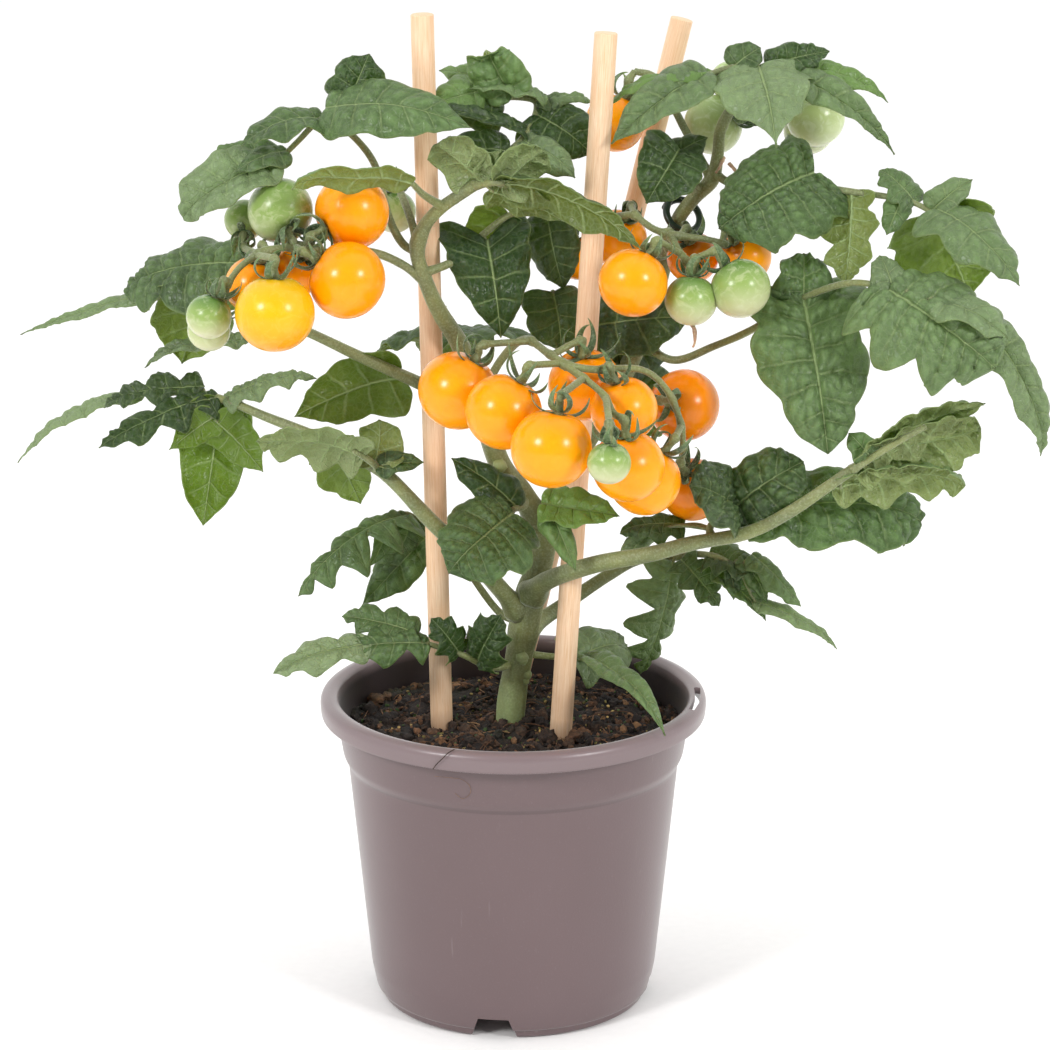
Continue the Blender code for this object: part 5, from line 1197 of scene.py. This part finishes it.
def buildTrusses():
    for name, (stem, routes) in trussPlan.items():
        shape = newShape()
        root = nearest(stemPlan[stem][0], routes[0][0])
        lines = [smoothLine(route, trussLook["step"]) for route in ([root, *routes[0]], *routes[1:])]
        ends = addFruitStalks(shape, name, lines)
        for index, line in enumerate(lines):  # a stalk line ends at its last fruit or branch
            ends += [branch[0] for branch in lines[index + 1:]]
            held = [distances(line, end) for end in ends]
            last = max(int(np.argmin(away)) for away in held if away.min() < 2)
            line = line[:last + 2]
            radii = np.linspace(trussLook["first" if index == 0 else "next"], trussLook["last"], len(line))
            for end in ends:
                near = distances(line, end) / trussLook["jointLength"]
                radii = radii * (1 + trussLook["joint"] * np.exp(-near ** 2))
            radii = radii * (1 + trussLook["uneven"] * ripple(line, 8))
            sweep(shape, line, radii, sides=12, ridge=0.05)
            addHairs(shape, line, *trussLook["hairs"])
        for bit in dryBits.get(name, ()):
            line = smoothLine(bit, 0.5)
            radii = np.linspace(0.8, 0.4, len(line)) * (1 + 0.25 * ripple(line, 2))
            sweep(shape, line, radii, sides=8, ridge=0.1, kind=2)
        makePiece(name + "_stalks", shape, [stemGreen, sepalGreen, dryFlower], name)
    print("trusses built")


fruitLook = {"rings": 30, "around": 44, "dimple": 0.13, "ribs": 0.014, "squash": 0.97, "tip": 0.025,
             "heightShare": {"green": 0.65, "pale": 0.65}}  # how far the height, not the stalk, sets the colour: darker on top, paler below


def addFruit(shape, middle, radius, axis, heightShare):
    middle, axis = np.array(middle, float), unit(np.array(axis, float))
    across = unit(np.cross(axis, dice.normal(size=3)))
    around = np.cross(axis, across)
    rings, steps = fruitLook["rings"], fruitLook["around"]
    squash, dimple = fruitLook["squash"], fruitLook["dimple"]
    theta, phi = np.meshgrid(np.pi * (np.arange(rings) + 0.5) / rings, 2 * np.pi * np.arange(steps) / steps,
                             indexing="ij")
    ribbing = 1 + fruitLook["ribs"] * np.cos(5 * phi + dice.uniform(0, 6)) * np.exp(-(theta / 0.9) ** 2)
    ribbing = ribbing + 0.006 * np.cos(2 * phi + dice.uniform(0, 6))
    upward = squash * np.cos(theta) - dimple * np.exp(-(theta / 0.3) ** 2)
    upward = upward + fruitLook["tip"] * np.exp(-((np.pi - theta) / 0.12) ** 2)
    out = (np.sin(theta) * ribbing)[..., None]
    ring = (across * np.cos(phi)[..., None] + around * np.sin(phi)[..., None]) * out
    points = (middle + radius * (ring + axis * upward[..., None])).reshape(-1, 3)
    ends = [middle + radius * axis * (squash - dimple), middle - radius * axis * (squash - 0.03)]
    points = np.vstack([points, ends])
    fromStalk = np.concatenate([np.cos(theta).ravel(), [1, -1]])
    aboveMiddle = (points[:, 2] - middle[2]) / radius
    addPart(shape, points, closedFaces(rings, steps, flip=True),
            rise=fromStalk * (1 - heightShare) + aboveMiddle * heightShare)


def buildFruit():
    for name, group in fruitPlan.items():
        shape = newShape()
        for middle, radius, axis, colour, *_ in group:
            addFruit(shape, middle, radius, axis, fruitLook["heightShare"].get(colour, 0.0))
        colour = group[0][3]
        makePiece(name + "_skin", shape, [fruitSkins[colour]], name)
    print("fruit built")


buildStems()
buildTrusses()
buildLeaves()
buildFruit()


viewPlan = {"location": (4.24, -1249.64, 535.63), "tilt": 74.0, "lens": 124.53}
stagePlan = {"floorReach": 6.0, "aim": (0, 0, 200), "softboxes": {  # place, size in metres, power
    "softbox_left": ((-1500, -1600, 1450), 0.5, 31),
    "softbox_right": ((1600, -1500, 1300), 0.46, 25)}}


def addSoftbox(name, place, size, power):
    lamp = bpy.data.lights.new(name, "AREA")
    lamp.shape = "RECTANGLE"
    lamp.size, lamp.size_y = size, size
    lamp.energy = power
    box = bpy.data.objects.new(name, lamp)
    box.location = Vector(place) * mm
    box.rotation_euler = (Vector(stagePlan["aim"]) * mm - box.location).to_track_quat("-Z", "Y").to_euler()
    bpy.context.scene.collection.objects.link(box)


def paintedFloor():
    # Matt emulsion, rolled on: no shine, a faint roller stipple.
    made, add, shader, place = newMaterial("mattWhitePaint")
    stipple = add("TexNoise", {"Vector": place, "Scale": 260.0, "Detail": 2.0})
    paint = add("Mix", {0: stipple, 6: "#F8F7F6", 7: "#FFFEFD"}, **colourMix)
    setInputs(shader, {"Base Color": paint, "Roughness": 0.9})
    return made


def setStage():
    mesh = bpy.data.meshes.new("floor")
    far = stagePlan["floorReach"]
    mesh.from_pydata([(-far, -far, 0), (far, -far, 0), (far, far, 0), (-far, far, 0)], [], [(0, 1, 2, 3)])
    mesh.materials.append(paintedFloor())
    floor = bpy.data.objects.new("floor", mesh)
    floor.location.z = -0.0003
    bpy.context.scene.collection.objects.link(floor)
    world = bpy.data.worlds.new("studio")
    bpy.context.scene.world = world
    world.use_nodes = True
    add = partial(addNode, world.node_tree)  # white cove behind and beside, a dimmer room in front
    depth = add("SeparateXYZ", {0: add("TexCoord", out="Generated")}, out="Y")
    level = add("MapRange", {"Value": depth, 1: -0.8, 2: 0.1, 3: 0.35, 4: 1.25}, **softly)
    setInputs(world.node_tree.nodes["Background"], {"Color": "#FFFFFF", "Strength": level})
    for name, (place, size, power) in stagePlan["softboxes"].items():
        addSoftbox(name, place, size, power)


def setCamera():
    lens = bpy.data.cameras.new("view")
    lens.sensor_width, lens.lens = 36.0, viewPlan["lens"]
    lens.clip_start, lens.clip_end = 0.05, 50
    camera = bpy.data.objects.new("view", lens)
    camera.location = Vector(viewPlan["location"]) * mm
    camera.rotation_euler = (math.radians(viewPlan["tilt"]), 0, 0)
    bpy.context.scene.collection.objects.link(camera)
    bpy.context.scene.camera = camera
    bpy.context.scene.view_settings.view_transform = "Standard"


setStage()
setCamera()
